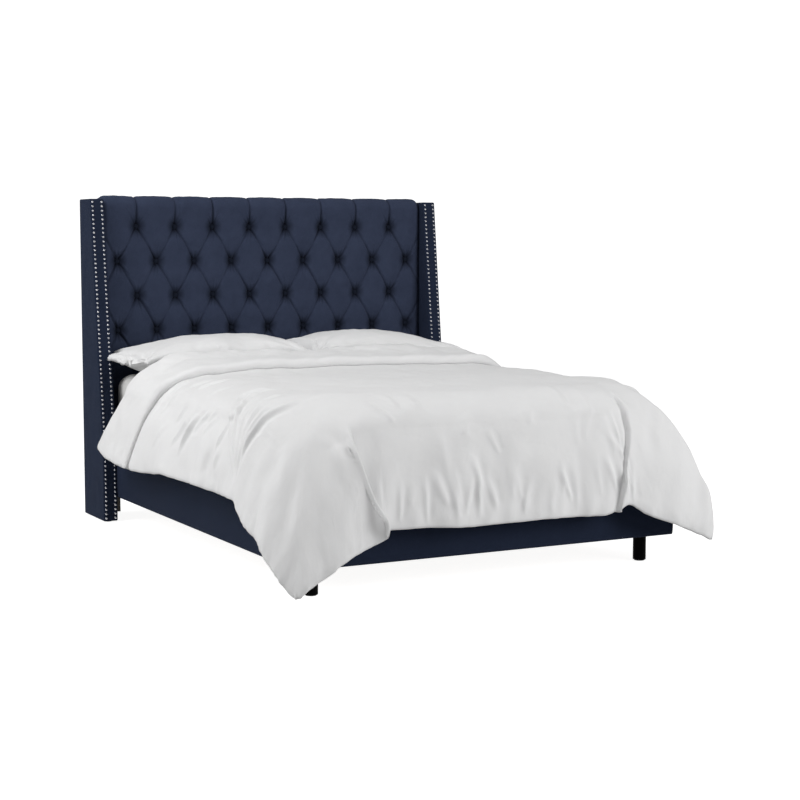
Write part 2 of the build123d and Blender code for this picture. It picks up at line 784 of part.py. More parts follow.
def pillow(name, side):
    """Pillow: crowned, drawn in at its sides, thin at its seam and flat where it lies."""
    middle_x = side * (pillow_between / 2 + pillow_length / 2)
    middle_reach = pillow_front - pillow_width / 2
    seam = bedding_floor + pillow_seam_height
    wires = []
    for place, width_share, height_share in pillow_shares:
        x = middle_x + place * pillow_length / 2
        half = width_share * pillow_width / 2
        top = seam + height_share * (pillow_height - pillow_seam_height)
        low = seam - height_share * (pillow_seam_height + pillow_sag)
        back = Vector(x, from_back(middle_reach - half), seam)
        front = Vector(x, from_back(middle_reach + half), seam)
        crest = Vector(x, from_back(middle_reach), top)
        belly = Vector(x, from_back(middle_reach), low)
        wires.append(Wire([Edge.make_three_point_arc(back, crest, front),
                           Edge.make_three_point_arc(front, belly, back)]))
    form = Solid.make_loft(wires, ruled=True)
    under = block(middle_x - pillow_length, middle_x + pillow_length, middle_reach - pillow_width,
                  middle_reach + pillow_width, bedding_floor - overrun, bedding_floor)
    nodes["pillow_" + name] = form - under


def skirt_section(x, reach, side, turn, edge_out, hem_share, height_share, raised):
    """One upright slice of the duvet's skirt, from the slab's edge over the shoulder to the hem.

    x and reach place the slab's edge, turn is the way the slice faces, in degrees from
    straight out to the side (90 is straight to the foot), and edge_out is how far the
    mattress's edge lies out along it. raised is 1 in the turned-back band, else 0.
    """
    out_x = side * math.cos(math.radians(turn))
    out_y = -math.sin(math.radians(turn))

    def place(out, z):
        return Vector(x + out * out_x, from_back(reach) + out * out_y, z)

    band_out = raised * duvet_band_side_rise
    top = bedding_floor + duvet_thickness + raised * duvet_band_rise
    shoulder = edge_out + duvet_shoulder_margin
    inner = shoulder - duvet_thickness
    hem = hem_share * duvet_reach
    hem_z = height_share * mattress_top
    bend_z = top - duvet_bend_drop_share * (top - duvet_shoulder_height)
    inner_bend_z = bedding_floor - duvet_inner_bend_share * (bedding_floor - duvet_shoulder_height)
    points = [
        place(0, top + duvet_rim_step),
        place((shoulder + band_out) * duvet_bend_out_share, bend_z),
        place(shoulder + band_out, duvet_shoulder_height),
        place(hem + band_out, hem_z),
        place(hem - duvet_hem_thickness, hem_z),
        place(inner, duvet_shoulder_height),
        place(inner * duvet_bend_out_share, inner_bend_z),
        place(0, bedding_floor + duvet_rim_step),
    ]
    edges = [
        Edge.make_three_point_arc(points[0], points[1], points[2]),
        Edge.make_line(points[2], points[3]),
        Edge.make_line(points[3], points[4]),
        Edge.make_line(points[4], points[5]),
        Edge.make_three_point_arc(points[5], points[6], points[7]),
        Edge.make_line(points[7], points[0]),
    ]
    return Wire(edges)


def side_section(side, reach, turn, hem_share, height_share, raised):
    """Slice of the skirt on a long side of the bed."""
    edge_out = duvet_rim_inset / math.cos(math.radians(turn))
    return skirt_section(side * rim_half, reach, side, turn, edge_out, hem_share, height_share, raised)


def side_sections(side, band_row, rows):
    """Slices of the skirt down one side of the bed, from the headboard end to the foot."""
    turn, hem, height = duvet_head_shares
    middle = duvet_head + duvet_band_middle_share * duvet_band_width
    band_foot = duvet_band_end + duvet_band_step
    sections = [
        skirt_section(side * duvet_head_half, duvet_head, side, turn, 0, hem, height, 1),
        skirt_section(side * duvet_head_half, middle, side, band_row[0], 0, band_row[1], band_row[2], 1),
        side_section(side, duvet_band_end, *duvet_band_end_shares, 1),
        side_section(side, band_foot, *duvet_band_end_shares, 0),
    ]
    for share, *row in rows:
        sections.append(side_section(side, band_foot + share * (rim_corner_reach - band_foot), *row, 0))
    return sections


def corner_sections(side, rows):
    """Slices of the skirt round one foot corner."""
    sections = []
    for turn, hem, height in rows:
        out_side = math.cos(math.radians(turn))
        out_foot = math.sin(math.radians(turn))
        x = side * (rim_corner_half + duvet_rim_corner * out_side)
        reach = rim_corner_reach + duvet_rim_corner * out_foot
        edge_out = (duvet_rim_inset + duvet_rim_corner) / max(out_side, out_foot)
        edge_out += duvet_corner_ease - duvet_rim_corner
        sections.append(skirt_section(x, reach, side, turn, edge_out, hem, height, 0))
    return sections


def slab_section(reach, half, raised, crown_share):
    """One slice across the duvet's slab, with its crown."""
    y = from_back(reach)
    top = bedding_floor + duvet_thickness + raised * duvet_band_rise
    crown_half = half - duvet_rim_corner - duvet_rim_lap
    crown_top = top + crown_share * duvet_crown
    points = [(-half, bedding_floor), (half, bedding_floor), (half, top), (crown_half, crown_top),
              (-crown_half, crown_top), (-half, top)]
    return Wire.make_polygon([Vector(x, y, z) for x, z in points], close=True)


def duvet():
    """Duvet: slab, skirt with its folds, corner drapes and the band turned back at its head."""
    left = side_sections(-1, duvet_left_band_shares, duvet_left_shares)
    left += corner_sections(-1, duvet_left_corner_shares)
    foot = [skirt_section(share * rim_corner_half, rim_foot, 1, 90, duvet_rim_inset, hem, height, 0)
            for share, hem, height in duvet_foot_shares]
    right = side_sections(1, duvet_right_band_shares, duvet_right_shares)
    right += corner_sections(1, duvet_right_corner_shares)
    skirt = Solid.make_loft(left + foot + right[::-1], ruled=True)
    middle = duvet_head + duvet_band_middle_share * duvet_band_width
    lap_half = rim_half + duvet_rim_lap
    slab_rows = [
        (duvet_head - duvet_rim_step, duvet_head_half + duvet_rim_lap, 1, duvet_crown_end_share),
        (middle, duvet_head_half + duvet_rim_lap, 1, 1),
        (duvet_band_end, lap_half, 1, 1),
        (duvet_band_end + duvet_band_step, lap_half, 0, 1),
        (rim_corner_reach, lap_half, 0, 1),
    ]
    for turn, *_ in duvet_left_corner_shares:
        half = rim_corner_half + (duvet_rim_corner + duvet_rim_lap) * math.cos(math.radians(turn))
        reach = rim_corner_reach + (duvet_rim_corner + duvet_rim_lap) * math.sin(math.radians(turn))
        slab_rows.append((reach, half, 0, duvet_crown_corner_share))
    slab_rows.append((rim_foot + duvet_rim_lap, rim_corner_half, 0, duvet_crown_end_share))
    slab = Solid.make_loft([slab_section(*row) for row in slab_rows], ruled=True)
    nodes["duvet"] = skirt.fuse(slab)


def main():
    """Build every piece and write one file for each node."""
    headboard_frame()
    headboard_panel()
    tufted_cover()
    tufting_buttons()
    for name, side in (("left", -1), ("right", 1)):
        wing(name, side)
        nailheads(name, side)
        side_rail(name, side)
        brackets(name, side)
        legs(name, side)
        pillow(name, side)
    footboard()
    frame_bolts()
    glides()
    slat_support()
    centre_beam()
    mattress_and_sheet()
    duvet()
    os.makedirs("parts", exist_ok=True)
    for name, shape in nodes.items():
        export_step(shape, f"parts/{name}.step")
    print(len(nodes), "nodes")


main()
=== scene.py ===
import json
import logging
import math
from dataclasses import dataclass, field
from enum import Enum
from functools import reduce

import bmesh
import bpy
import numpy as np
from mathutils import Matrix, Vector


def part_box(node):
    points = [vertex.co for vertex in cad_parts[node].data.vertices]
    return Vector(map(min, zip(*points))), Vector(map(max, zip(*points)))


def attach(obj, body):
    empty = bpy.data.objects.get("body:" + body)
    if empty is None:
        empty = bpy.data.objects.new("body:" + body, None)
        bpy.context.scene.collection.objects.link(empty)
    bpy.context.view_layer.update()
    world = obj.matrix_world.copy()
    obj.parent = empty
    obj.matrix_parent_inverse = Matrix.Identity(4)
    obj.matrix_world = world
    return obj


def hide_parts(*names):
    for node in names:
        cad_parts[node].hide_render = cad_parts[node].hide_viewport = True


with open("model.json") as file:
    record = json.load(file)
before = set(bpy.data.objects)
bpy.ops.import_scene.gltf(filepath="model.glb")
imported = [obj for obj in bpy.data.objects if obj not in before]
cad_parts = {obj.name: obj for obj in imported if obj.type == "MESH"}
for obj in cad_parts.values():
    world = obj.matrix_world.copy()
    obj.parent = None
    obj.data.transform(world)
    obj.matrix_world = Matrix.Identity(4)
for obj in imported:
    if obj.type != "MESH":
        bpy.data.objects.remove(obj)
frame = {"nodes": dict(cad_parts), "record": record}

Array = np.ndarray
Colour = tuple[float, float, float]
Inputs = dict[str, "Wire | float | tuple[float, ...]"]
# Points nearer to each other than this, in metres, become one.
WELD = 1e-6
log = logging.getLogger("wingback_bed")


class Layout(Enum):
    """Where a pattern reads its place from."""

    OBJECT = "Object"
    CLOTH = "UV"


class Side(Enum):
    """The two long sides of the bed, seen from the foot."""

    LEFT = -1
    RIGHT = 1

    @property
    def word(self) -> str:
        """The side's name as the nodes write it."""
        return self.name.lower()


# Shader maths


class Wire:
    """A node's output socket that takes part in sums, adding a Math node for each operator."""

    def __init__(self, board: "Board", socket: bpy.types.NodeSocket) -> None:
        """Keep the socket and the board that holds its node."""
        self.board = board
        self.socket = socket

    def math(self, operation: str, *values: "Wire | float") -> "Wire":
        """Result of a Math node with that operation on the values, in their order."""
        return self.board.out("ShaderNodeMath", {"operation": operation}, dict(enumerate(values)))

    def __add__(self, other: "Wire | float") -> "Wire":
        """Sum."""
        return self.math("ADD", self, other)

    __radd__ = __add__

    def __sub__(self, other: "Wire | float") -> "Wire":
        """Difference."""
        return self.math("SUBTRACT", self, other)

    def __rsub__(self, other: "Wire | float") -> "Wire":
        """Difference with this value taken away."""
        return self.math("SUBTRACT", other, self)

    def __mul__(self, other: "Wire | float") -> "Wire":
        """Product."""
        return self.math("MULTIPLY", self, other)

    __rmul__ = __mul__

    def __pow__(self, other: "Wire | float") -> "Wire":
        """Power."""
        return self.math("POWER", self, other)

    def __abs__(self) -> "Wire":
        """Size without sign."""
        return self.math("ABSOLUTE", self)

    def sine(self) -> "Wire":
        """Sine of this value in radians."""
        return self.math("SINE", self)

    def clamped(self, low: float = 0.0, high: float = 1.0) -> "Wire":
        """This value held between low and high."""
        return self.math("MAXIMUM", self.math("MINIMUM", self, high), low)


class Board:
    """The node tree of one material."""

    def __init__(self, name: str, layout: Layout = Layout.OBJECT) -> None:
        """Start an empty material.

        Args:
            name: the material's name.
            layout: where its patterns read their place from.
        """
        self.layout = layout
        self.material = bpy.data.materials.new(name)
        self.material.use_nodes = True
        self.tree = self.material.node_tree
        self.tree.nodes.clear()

    def node(self, kind: str, settings: dict | None = None, inputs: dict | None = None) -> bpy.types.Node:
        """Add a node.

        Args:
            kind: the node's type.
            settings: its properties, set first; "stops" holds a ramp's places and colours.
            inputs: values or links of its sockets, by name or number.

        Returns:
            The node.
        """
        node = self.tree.nodes.new(kind)
        for key, value in (settings or {}).items():
            if key == "stops":
                self.set_stops(node, value)
            else:
                setattr(node, key, value)
        for key, value in (inputs or {}).items():
            socket = node.inputs[key]
            if isinstance(value, Wire):
                self.tree.links.new(value.socket, socket)
            elif isinstance(value, tuple) and len(value) == 3 and socket.type == "RGBA":
                socket.default_value = (*value, 1.0)
            else:
                socket.default_value = value
        return node

    @staticmethod
    def set_stops(node: bpy.types.Node, stops: list[tuple[float, Colour]]) -> None:
        """Give a colour ramp its stops.

        Args:
            node: the ramp.
            stops: place and colour of each.
        """
        elements = node.color_ramp.elements
        while len(elements) < len(stops):
            elements.new(0.5)
        for element, (place, colour) in zip(elements, stops):
            element.position = place
            element.color = (*colour, 1.0)

    def out(self, kind: str, settings: dict | None = None, inputs: dict | None = None,
            socket: str | int = 0) -> Wire:
        """Add a node and return one of its outputs, by name or number, ready for sums."""
        return Wire(self, self.node(kind, settings, inputs).outputs[socket])

    def place(self, scale: tuple[float, float, float] = (1.0, 1.0, 1.0)) -> Wire:
        """Coordinates in metres, stretched by a Mapping node."""
        source = self.out("ShaderNodeTexCoord", socket=self.layout.value)
        return self.out("ShaderNodeMapping", None, {"Vector": source, "Scale": scale})

    def noise(self, vector: Wire, scale: float, detail: float = 3.0, roughness: float = 0.5) -> Wire:
        """Noise from 0 to 1 at a scale in waves per metre."""
        inputs = {"Vector": vector, "Scale": scale, "Detail": detail, "Roughness": roughness}
        return self.out("ShaderNodeTexNoise", None, inputs)

    def parts(self, vector: Wire) -> tuple[Wire, Wire, Wire]:
        """The three numbers of a vector."""
        node = self.node("ShaderNodeSeparateXYZ", None, {0: vector})
        return tuple(Wire(self, output) for output in node.outputs)

    def blend(self, share: Wire | float, low: Colour | Wire, high: Colour | Wire) -> Wire:
        """Mix two colours by a share from 0 to 1."""
        return self.out("ShaderNodeMix", {"data_type": "RGBA"}, {0: share, 6: low, 7: high}, 2)

    def bump(self, height: Wire, distance: float, strength: float = 1.0,
             over: Wire | None = None) -> Wire:
        """Normal, or the one given, bent by a height whose full range stands distance metres high."""
        inputs = {"Height": height, "Distance": distance, "Strength": strength}
        return self.out("ShaderNodeBump", None, inputs if over is None else inputs | {"Normal": over})

    def surface(self, shader: str, inputs: Inputs) -> bpy.types.Material:
        """Finish the material with a shader and its inputs."""
        self.node("ShaderNodeOutputMaterial", None, {"Surface": self.out(shader, None, inputs)})
        return self.material


# Finishes


@dataclass(frozen=True)
class Finish:
    """A procedural finish."""

    name: str

    def inputs(self, board: Board) -> Inputs:
        """Values and links that the shader gets, by the name of their socket."""
        raise NotImplementedError

    def build(self, layout: Layout) -> bpy.types.Material:
        """Make the material, whose patterns read their place from the layout."""
        board = Board(self.name, layout)
        return board.surface("ShaderNodeBsdfPrincipled", self.inputs(board))


@dataclass(frozen=True)
class UpholsteryCloth(Finish):
    """Plain woven upholstery cloth: crossed yarns, slubs and a soft nap.

    The weave's height is the product of two sines, one along each yarn direction; slubs are
    noise stretched along the yarns. On tufted cloth the relief attribute lays painted shade,
    the valley colour, into the pits and creases.
    """

    name: str = "navy_upholstery"
    colour: Colour = (0.0158, 0.0225, 0.0440)
    deep: Colour = (0.0118, 0.0170, 0.0335)
    worn: Colour = (0.0212, 0.0295, 0.0555)
    # Colour of the painted shade laid into the tufts' pits and creases.
    valley: Colour = (0.0045, 0.006, 0.0115)
    yarn: float = 0.0016
    nap: float = 0.04
    nap_tint: tuple[float, float, float, float] = (0.50, 0.60, 0.85, 1.0)
    tufted: bool = False
    slub_stretch: float = 14.0
    slub_waves: float = 95.0
    relief: float = 0.0009

    def inputs(self, board: Board) -> Inputs:
        """Weave, slubs and mottled colour.

        Args:
            board: the material's node tree.

        Returns:
            The shader's inputs.
        """
        place = board.place()
        u, v, w = board.parts(place)
        if board.layout is Layout.OBJECT:
            u, v = u + v, w
        waves = 2 * math.pi / self.yarn
        weave = (u * waves).sine() * (v * waves).sine()
        stretch = self.slub_stretch
        slub = board.noise(board.place((1.0, stretch, stretch)), self.slub_waves, 2.0)
        slub_across = board.noise(board.place((stretch, 1.0, 1.0)), self.slub_waves, 2.0)
        mottle = board.noise(place, 9.0, 4.0, 0.6)
        yarns = (slub + slub_across) * 0.5
        tone = (mottle * 0.5 + yarns * 0.7 - 0.1).clamped()
        stops = [(0.25, self.deep), (0.5, self.colour), (0.82, self.worn)]
        colour = board.out("ShaderNodeValToRGB", {"stops": stops}, {0: tone})
        if self.tufted:
            # Painted shade: the valley colour darkens the cloth where the relief attribute is low, in the
            # pits and creases.
            proud = board.out("ShaderNodeAttribute", {"attribute_name": "relief"}, None, "Fac")
            valley_shade = (1.0 - proud * 1.35).clamped() ** 0.8
            colour = board.blend(valley_shade, colour, self.valley)
        rough = (0.86 + (mottle - 0.5) * 0.12).clamped()
        return {"Base Color": colour, "Roughness": rough,
                "Normal": board.bump(weave * 0.35 + yarns * 0.65, self.relief, 0.75),
                "Sheen Weight": self.nap, "Sheen Roughness": 0.45,
                "Sheen Tint": self.nap_tint, "Specular IOR Level": 0.06}


@dataclass(frozen=True)
class BedCotton(Finish):
    """Fine cotton of the bedding, with a crumpled surface and a close plain weave.

    The crumple is folded noise: one less four times the distance of noise from its middle.
    """

    colour: Colour
    shade: Colour
    crumple: float = 0.0016
    crumple_waves: float = 7.0
    yarn: float = 0.0009
    yarn_height: float = 0.00015

    def inputs(self, board: Board) -> Inputs:
        """Crumples, creases and weave, each bent over the one before.

        Args:
            board: the material's node tree.

        Returns:
            The shader's inputs.
        """
        place = board.place()
        u, v, _ = board.parts(place)
        waves = 2 * math.pi / self.yarn
        weave = (u * waves).sine() * (v * waves).sine()
        broad = board.noise(place, self.crumple_waves, 3.0, 0.5)
        fine = board.noise(place, self.crumple_waves * 4.5, 3.0, 0.55)
        crumples = board.bump(1.0 - abs(broad - 0.5) * 4.0, self.crumple, 0.8)
        creases = board.bump(1.0 - abs(fine - 0.5) * 4.0, self.crumple * 0.3, 0.6, crumples)
        tone = (board.noise(place, 22.0, 4.0, 0.6) * 0.7 + board.noise(place, 260.0, 2.0) * 0.3).clamped()
        return {"Base Color": board.blend(tone, self.shade, self.colour),
                "Roughness": (0.80 + tone * 0.1).clamped(),
                "Normal": board.bump(weave, self.yarn_height, 0.4, creases),
                "Sheen Weight": 0.12, "Sheen Roughness": 0.5, "Specular IOR Level": 0.2}


@dataclass(frozen=True)
class QuiltedTicking(Finish):
    """Mattress ticking, quilted in a diamond pattern with a fine knit face."""

    name: str = "mattress_ticking"
    colour: Colour = (0.72, 0.70, 0.66)
    shade: Colour = (0.60, 0.58, 0.54)
    quilt: float = 0.09
    quilt_height: float = 0.005
    knit_height: float = 0.0003

    def inputs(self, board: Board) -> Inputs:
        """Quilted puffs, the product of two slanting sines, under a knit of fine noise.

        Args:
            board: the material's node tree.

        Returns:
            The shader's inputs.
        """
        place = board.place()
        u, v, w = board.parts(place)
        waves = math.pi / self.quilt
        one = abs(((u + v + w) * waves).sine())
        two = abs(((u - v - w) * waves).sine())
        puff = (one * two) ** 0.4
        # Painted shade: the shade colour darkens the ticking in the quilted valleys, where the puff is low.
        quilt_valley_shade = (1.0 - puff * 1.6).clamped()
        quilted = board.bump(puff, self.quilt_height, 0.8)
        return {"Base Color": board.blend(quilt_valley_shade, self.colour, self.shade), "Roughness": 0.85,
                "Normal": board.bump(board.noise(place, 900.0, 2.0), self.knit_height, 0.5, quilted),
                "Sheen Weight": 0.1, "Specular IOR Level": 0.2}


@dataclass(frozen=True)
class SoftFoam(Finish):
    """Open foam: pale, slightly mottled, with fine cells."""

    name: str = "soft_foam"
    colour: Colour = (0.74, 0.64, 0.38)
    shade: Colour = (0.60, 0.50, 0.28)
    cell_height: float = 0.0008

    def inputs(self, board: Board) -> Inputs:
        """Voronoi cells under a mottled colour.

        Args:
            board: the material's node tree.

        Returns:
            The shader's inputs.
        """
        place = board.place()
        cells = board.out("ShaderNodeTexVoronoi", None, {"Vector": place, "Scale": 420.0})
        mottle = board.noise(place, 14.0, 4.0)
        return {"Base Color": board.blend(mottle, self.shade, self.colour), "Roughness": 0.95,
                "Normal": board.bump(cells, self.cell_height, 0.7), "Specular IOR Level": 0.1}


@dataclass(frozen=True)
class Timber(Finish):
    """Planed timber: rings and pores drawn out along the grain.

    The ring pattern is a sine of the distance across the grain, bent by stretched noise.
    """

    light: Colour
    dark: Colour
    grain: tuple[float, float, float]
    ring: float = 0.011
    relief: float = 0.0005

    def inputs(self, board: Board) -> Inputs:
        """Rings and pores.

        Args:
            board: the material's node tree.

        Returns:
            The shader's inputs.
        """
        along = board.place(self.grain)
        bend = board.noise(along, 3.0, 4.0, 0.55)
        u, v, w = board.parts(along)
        rings = ((u + v + w) * (2 * math.pi / self.ring) * 0.25 + bend * 26.0).sine() * 0.5 + 0.5
        pores = board.noise(along, 210.0, 3.0, 0.7)
        tone = (rings * 0.55 + pores * 0.5 - 0.05).clamped()
        return {"Base Color": board.blend(tone, self.dark, self.light),
                "Roughness": (0.72 - tone * 0.14).clamped(),
                "Normal": board.bump(pores + rings * 0.3, self.relief, 0.6)}


@dataclass(frozen=True)
class LayeredBoard(Finish):
    """Plywood: sanded face veneer, and plies that show as bands through its thickness."""

    name: str = "plywood_board"
    light: Colour = (0.56, 0.40, 0.22)
    dark: Colour = (0.34, 0.21, 0.10)
    ply: float = 0.0018
    relief: float = 0.0004

    def inputs(self, board: Board) -> Inputs:
        """Upright figure in the veneer, and a sine through the plies.

        Args:
            board: the material's node tree.

        Returns:
            The shader's inputs.
        """
        _, through, _ = board.parts(board.place())
        plies = (through * (math.pi / self.ply)).sine() * 0.5 + 0.5
        figure = board.noise(board.place((1.0, 1.0, 0.08)), 42.0, 5.0, 0.65)
        tone = (figure * 0.9 + plies * 0.25 - 0.1).clamped()
        return {"Base Color": board.blend(tone, self.dark, self.light), "Roughness": 0.7,
                "Normal": board.bump(figure, self.relief, 0.5)}


@dataclass(frozen=True)
class GrainedSkin(Finish):
    """Lacquer, moulded plastic or coated steel: an even skin with a fine grain and rubbed marks.

    Marks are noise whose contrast is stretched; the grain is finer noise, drawn out upright.
    Both hold the noise's scale, detail and roughness; the other pairs a base and a change.
    """

    colour: Colour
    marked: Colour
    marks: tuple[float, float, float] = (60.0, 5.0, 0.7)
    contrast: tuple[float, float] = (2.2, 1.0)
    rough: tuple[float, float] = (0.42, 0.25)
    grain: tuple[float, float, float] = (1400.0, 2.0, 0.5)
    upright: float = 1.0
    relief: tuple[float, float] = (0.0001, 0.4)
    metallic: float = 0.0
    coat: float = 0.0
    shine: float = 0.5

    def inputs(self, board: Board) -> Inputs:
        """Grain and marks.

        Args:
            board: the material's node tree.

        Returns:
            The shader's inputs.
        """
        marks = board.noise(board.place(), *self.marks)
        grain = board.noise(board.place((1.0, 1.0, self.upright)), *self.grain)
        gain, loss = self.contrast
        smooth, change = self.rough
        return {"Base Color": board.blend((marks * gain - loss).clamped(), self.colour, self.marked),
                "Roughness": (smooth + marks * change).clamped(),
                "Normal": board.bump(grain, *self.relief), "Metallic": self.metallic,
                "Coat Weight": self.coat, "Specular IOR Level": self.shine}


@dataclass(frozen=True)
class BareMetal(Finish):
    """Bright metal: plated screws and polished nailheads, with hairline rubbing."""

    colour: Colour
    dulled: Colour
    roughness: float = 0.18
    relief: float = 0.00005

    def inputs(self, board: Board) -> Inputs:
        """Hairlines and dull patches.

        Args:
            board: the material's node tree.

        Returns:
            The shader's inputs.
        """
        hairs = board.noise(board.place((1.0, 1.0, 12.0)), 700.0, 2.0)
        dull = board.noise(board.place(), 55.0, 4.0, 0.7)
        rough = (self.roughness + (dull - 0.5) * 0.16 + hairs * 0.05).clamped()
        return {"Base Color": board.blend(dull, self.dulled, self.colour), "Metallic": 1.0,
                "Roughness": rough, "Normal": board.bump(hairs, self.relief, 0.3)}


# Meshes


@dataclass
class Shape:
    """Points and faces of a piece on the way to its mesh, with places on the cloth."""

    points: Array
    faces: list = field(default_factory=list)
    cloth: Array | None = None

    def joined(self, other: "Shape") -> "Shape":
        """This shape and another as one."""
        faces = self.faces + [tuple(i + len(self.points) for i in face) for face in other.faces]
        return Shape(np.vstack((self.points, other.points)), faces, np.vstack((self.cloth, other.cloth)))

    def piece(self, name: str, weld: float = 0.0) -> bpy.types.Object:
        """Make the Blender object at the origin.

        Args:
            name: the piece's name.
            weld: points nearer to each other than this become one.

        Returns:
            The object, smooth shaded, with a UV map in metres of cloth.
        """
        mesh = bpy.data.meshes.new(name)
        mesh.from_pydata(self.points.tolist(), [], self.faces)
        mesh.polygons.foreach_set("use_smooth", np.ones(len(mesh.polygons), dtype=bool))
        if self.cloth is not None:
            corner = np.empty(len(mesh.loops), dtype=np.int64)
            mesh.loops.foreach_get("vertex_index", corner)
            layer = mesh.uv_layers.new(name="cloth")
            layer.data.foreach_set("uv", self.cloth[corner].astype(np.float32).ravel())
        mesh.update()
        thing = bpy.data.objects.new(name, mesh)
        bpy.context.scene.collection.objects.link(thing)
        if weld > 0:
            weld_points(thing, weld)
        return thing


def weld_points(thing: bpy.types.Object, reach: float) -> None:
    """Merge a piece's close points and turn its faces outwards.

    Args:
        thing: the piece.
        reach: points nearer to each other than this become one.
    """
    work = bmesh.new()
    work.from_mesh(thing.data)
    bmesh.ops.remove_doubles(work, verts=work.verts, dist=reach)
    bmesh.ops.dissolve_degenerate(work, dist=reach, edges=work.edges)
    bmesh.ops.recalc_face_normals(work, faces=work.faces)
    work.to_mesh(thing.data)
    work.free()
    thing.data.update()


def corner_faces(*corners: Array) -> list[tuple[int, ...]]:
    """Faces whose corners are given as arrays of point numbers."""
    return [tuple(face) for face in np.stack(corners, -1).reshape(-1, len(corners)).tolist()]


def grid_faces(rows: int, columns: int, looped: bool = False) -> list[tuple[int, ...]]:
    """Quads between the points of a grid.

    Args:
        rows: how many rows of points.
        columns: how many points in a row.
        looped: join each row's last point to its first.

    Returns:
        One tuple of four point numbers for each quad.
    """
    row = np.arange(rows - 1)[:, None] * columns
    here = np.arange(columns if looped else columns - 1)[None, :]
    after = (here + 1) % columns
    return corner_faces(row + here, row + after, row + columns + after, row + columns + here)


def grid_normals(grid: Array) -> Array:
    """Unit normals of a grid of points: the cross product of its two directions' slopes.

    Args:
        grid: rows and columns of points.

    Returns:
        One direction for each point.
    """
    along = np.gradient(grid, axis=0)
    across = np.gradient(grid, axis=1)
    normal = np.cross(along, across)
    return normal / np.maximum(np.linalg.norm(normal, axis=-1, keepdims=True), 1e-9)


def smooth_step(value: Array) -> Array:
    """Rise from 0 to 1 with level ends: three squares less two cubes of the held value."""
    held = np.clip(value, 0.0, 1.0)
    return held * held * (3.0 - 2.0 * held)


def quarter_round(value: Array) -> Array:
    """Rise from 0 to 1 along a quarter circle, for a blunt rim."""
    return np.sqrt(np.clip(1 - (1 - np.clip(value, 0, 1)) ** 2, 0, 1))


def ripple(places: Array, length: float, seed: int, waves: int = 14, stretch: tuple = (1.0, 1.0)) -> Array:
    """Smooth seeded noise: the mean of sine waves of about that length in random directions.

    Args:
        places: points whose last axis holds their coordinates.
        length: wave length in metres.
        seed: chooses the waves.
        waves: how many are summed.
        stretch: how much longer the waves are along the first two coordinates.

    Returns:
        Values of about -1 to 1, one for each point.
    """
    generator = np.random.default_rng(seed)
    size = places.shape[-1]
    direction = generator.normal(size=(waves, size))
    direction /= np.linalg.norm(direction, axis=1, keepdims=True)
    direction[:, 0] /= stretch[0]
    direction[:, 1] /= stretch[1]
    pace = 2 * np.pi / length * generator.uniform(0.6, 1.5, waves)
    phase = generator.uniform(0, 2 * np.pi, waves)
    total = np.sin(places @ (direction * pace[:, None]).T + phase).sum(-1)
    return total / math.sqrt(waves / 2) * 0.5


def ring_form(rings: Array, closed_ends: bool = True) -> Shape:
    """Body carried along a path: closed rings of points, with a face over each end.

    Args:
        rings: array of rings, each with the same number of points.
        closed_ends: cover the first and last ring.

    Returns:
        The shape, whose cloth places are the way round and the way along, in metres.
    """
    count, size = rings.shape[:2]
    shape = Shape(rings.reshape(-1, 3), grid_faces(count, size, looped=True))
    round_step = np.linalg.norm(np.roll(rings, -1, axis=1) - rings, axis=-1).mean(0)
    along_step = np.linalg.norm(np.diff(rings, axis=0), axis=-1).mean(1)
    way_round = np.concatenate(([0.0], np.cumsum(round_step)[:-1]))
    way_along = np.concatenate(([0.0], np.cumsum(along_step)))
    u, v = np.meshgrid(way_round, way_along)
    shape.cloth = np.stack((u.ravel(), v.ravel()), -1)
    if closed_ends:
        shape.faces.append(tuple(range(size))[::-1])
        shape.faces.append(tuple(range((count - 1) * size, count * size)))
    return shape


def rounded_edge(low: float, top: float, low_round: float, top_round: float, points: int,
                 between: int) -> tuple[Array, Array]:
    """Profile of a body whose lower and upper edges are quarter circles.

    Args:
        low: where the body starts.
        top: where it ends.
        low_round: radius of the lower edge.
        top_round: radius of the upper edge.
        points: points on each edge.
        between: points between the edges.

    Returns:
        How far in each ring lies, and its place from low to top.
    """
    turn = np.linspace(0, np.pi / 2, points)
    back = turn[::-1]
    inset = (low_round * (1 - np.sin(turn)), np.zeros(between), top_round * (1 - np.sin(back)))
    climb = (low + low_round * (1 - np.cos(turn)),
             np.linspace(low + low_round, top - top_round, between + 2)[1:-1],
             top - top_round * (1 - np.cos(back)))
    return np.concatenate(inset), np.concatenate(climb)


def rounded_ring(half_x: Array, half_y: Array, corner: Array, arc_points: int = 10,
                 side_points: int = 24) -> Array:
    """Rounded rectangles about the origin: four arcs joined by four straight runs.

    Args:
        half_x: half width of each ring.
        half_y: half length of each ring.
        corner: corner radius of each ring.
        arc_points: points on each corner.
        side_points: points on each straight run.

    Returns:
        Array of rings with two coordinates each, anticlockwise.
    """
    half_x, half_y, corner = np.broadcast_arrays(np.atleast_1d(half_x), half_y, corner)
    turn = np.linspace(0, np.pi / 2, arc_points)
    pieces = []
    signs = ((1, 1), (-1, 1), (-1, -1), (1, -1))
    for quarter, (sx, sy) in enumerate(signs):
        angle = turn + quarter * np.pi / 2
        x = sx * (half_x - corner)[:, None] + corner[:, None] * np.cos(angle)
        y = sy * (half_y - corner)[:, None] + corner[:, None] * np.sin(angle)
        pieces.append(np.stack((x, y), -1))
    whole = []
    share = np.linspace(0, 1, side_points + 2)[1:-1][None, :, None]
    for now, after in zip(pieces, pieces[1:] + pieces[:1]):
        whole.append(now)
        whole.append(now[:, -1:, :] * (1 - share) + after[:, :1, :] * share)
    return np.concatenate(whole, axis=1)


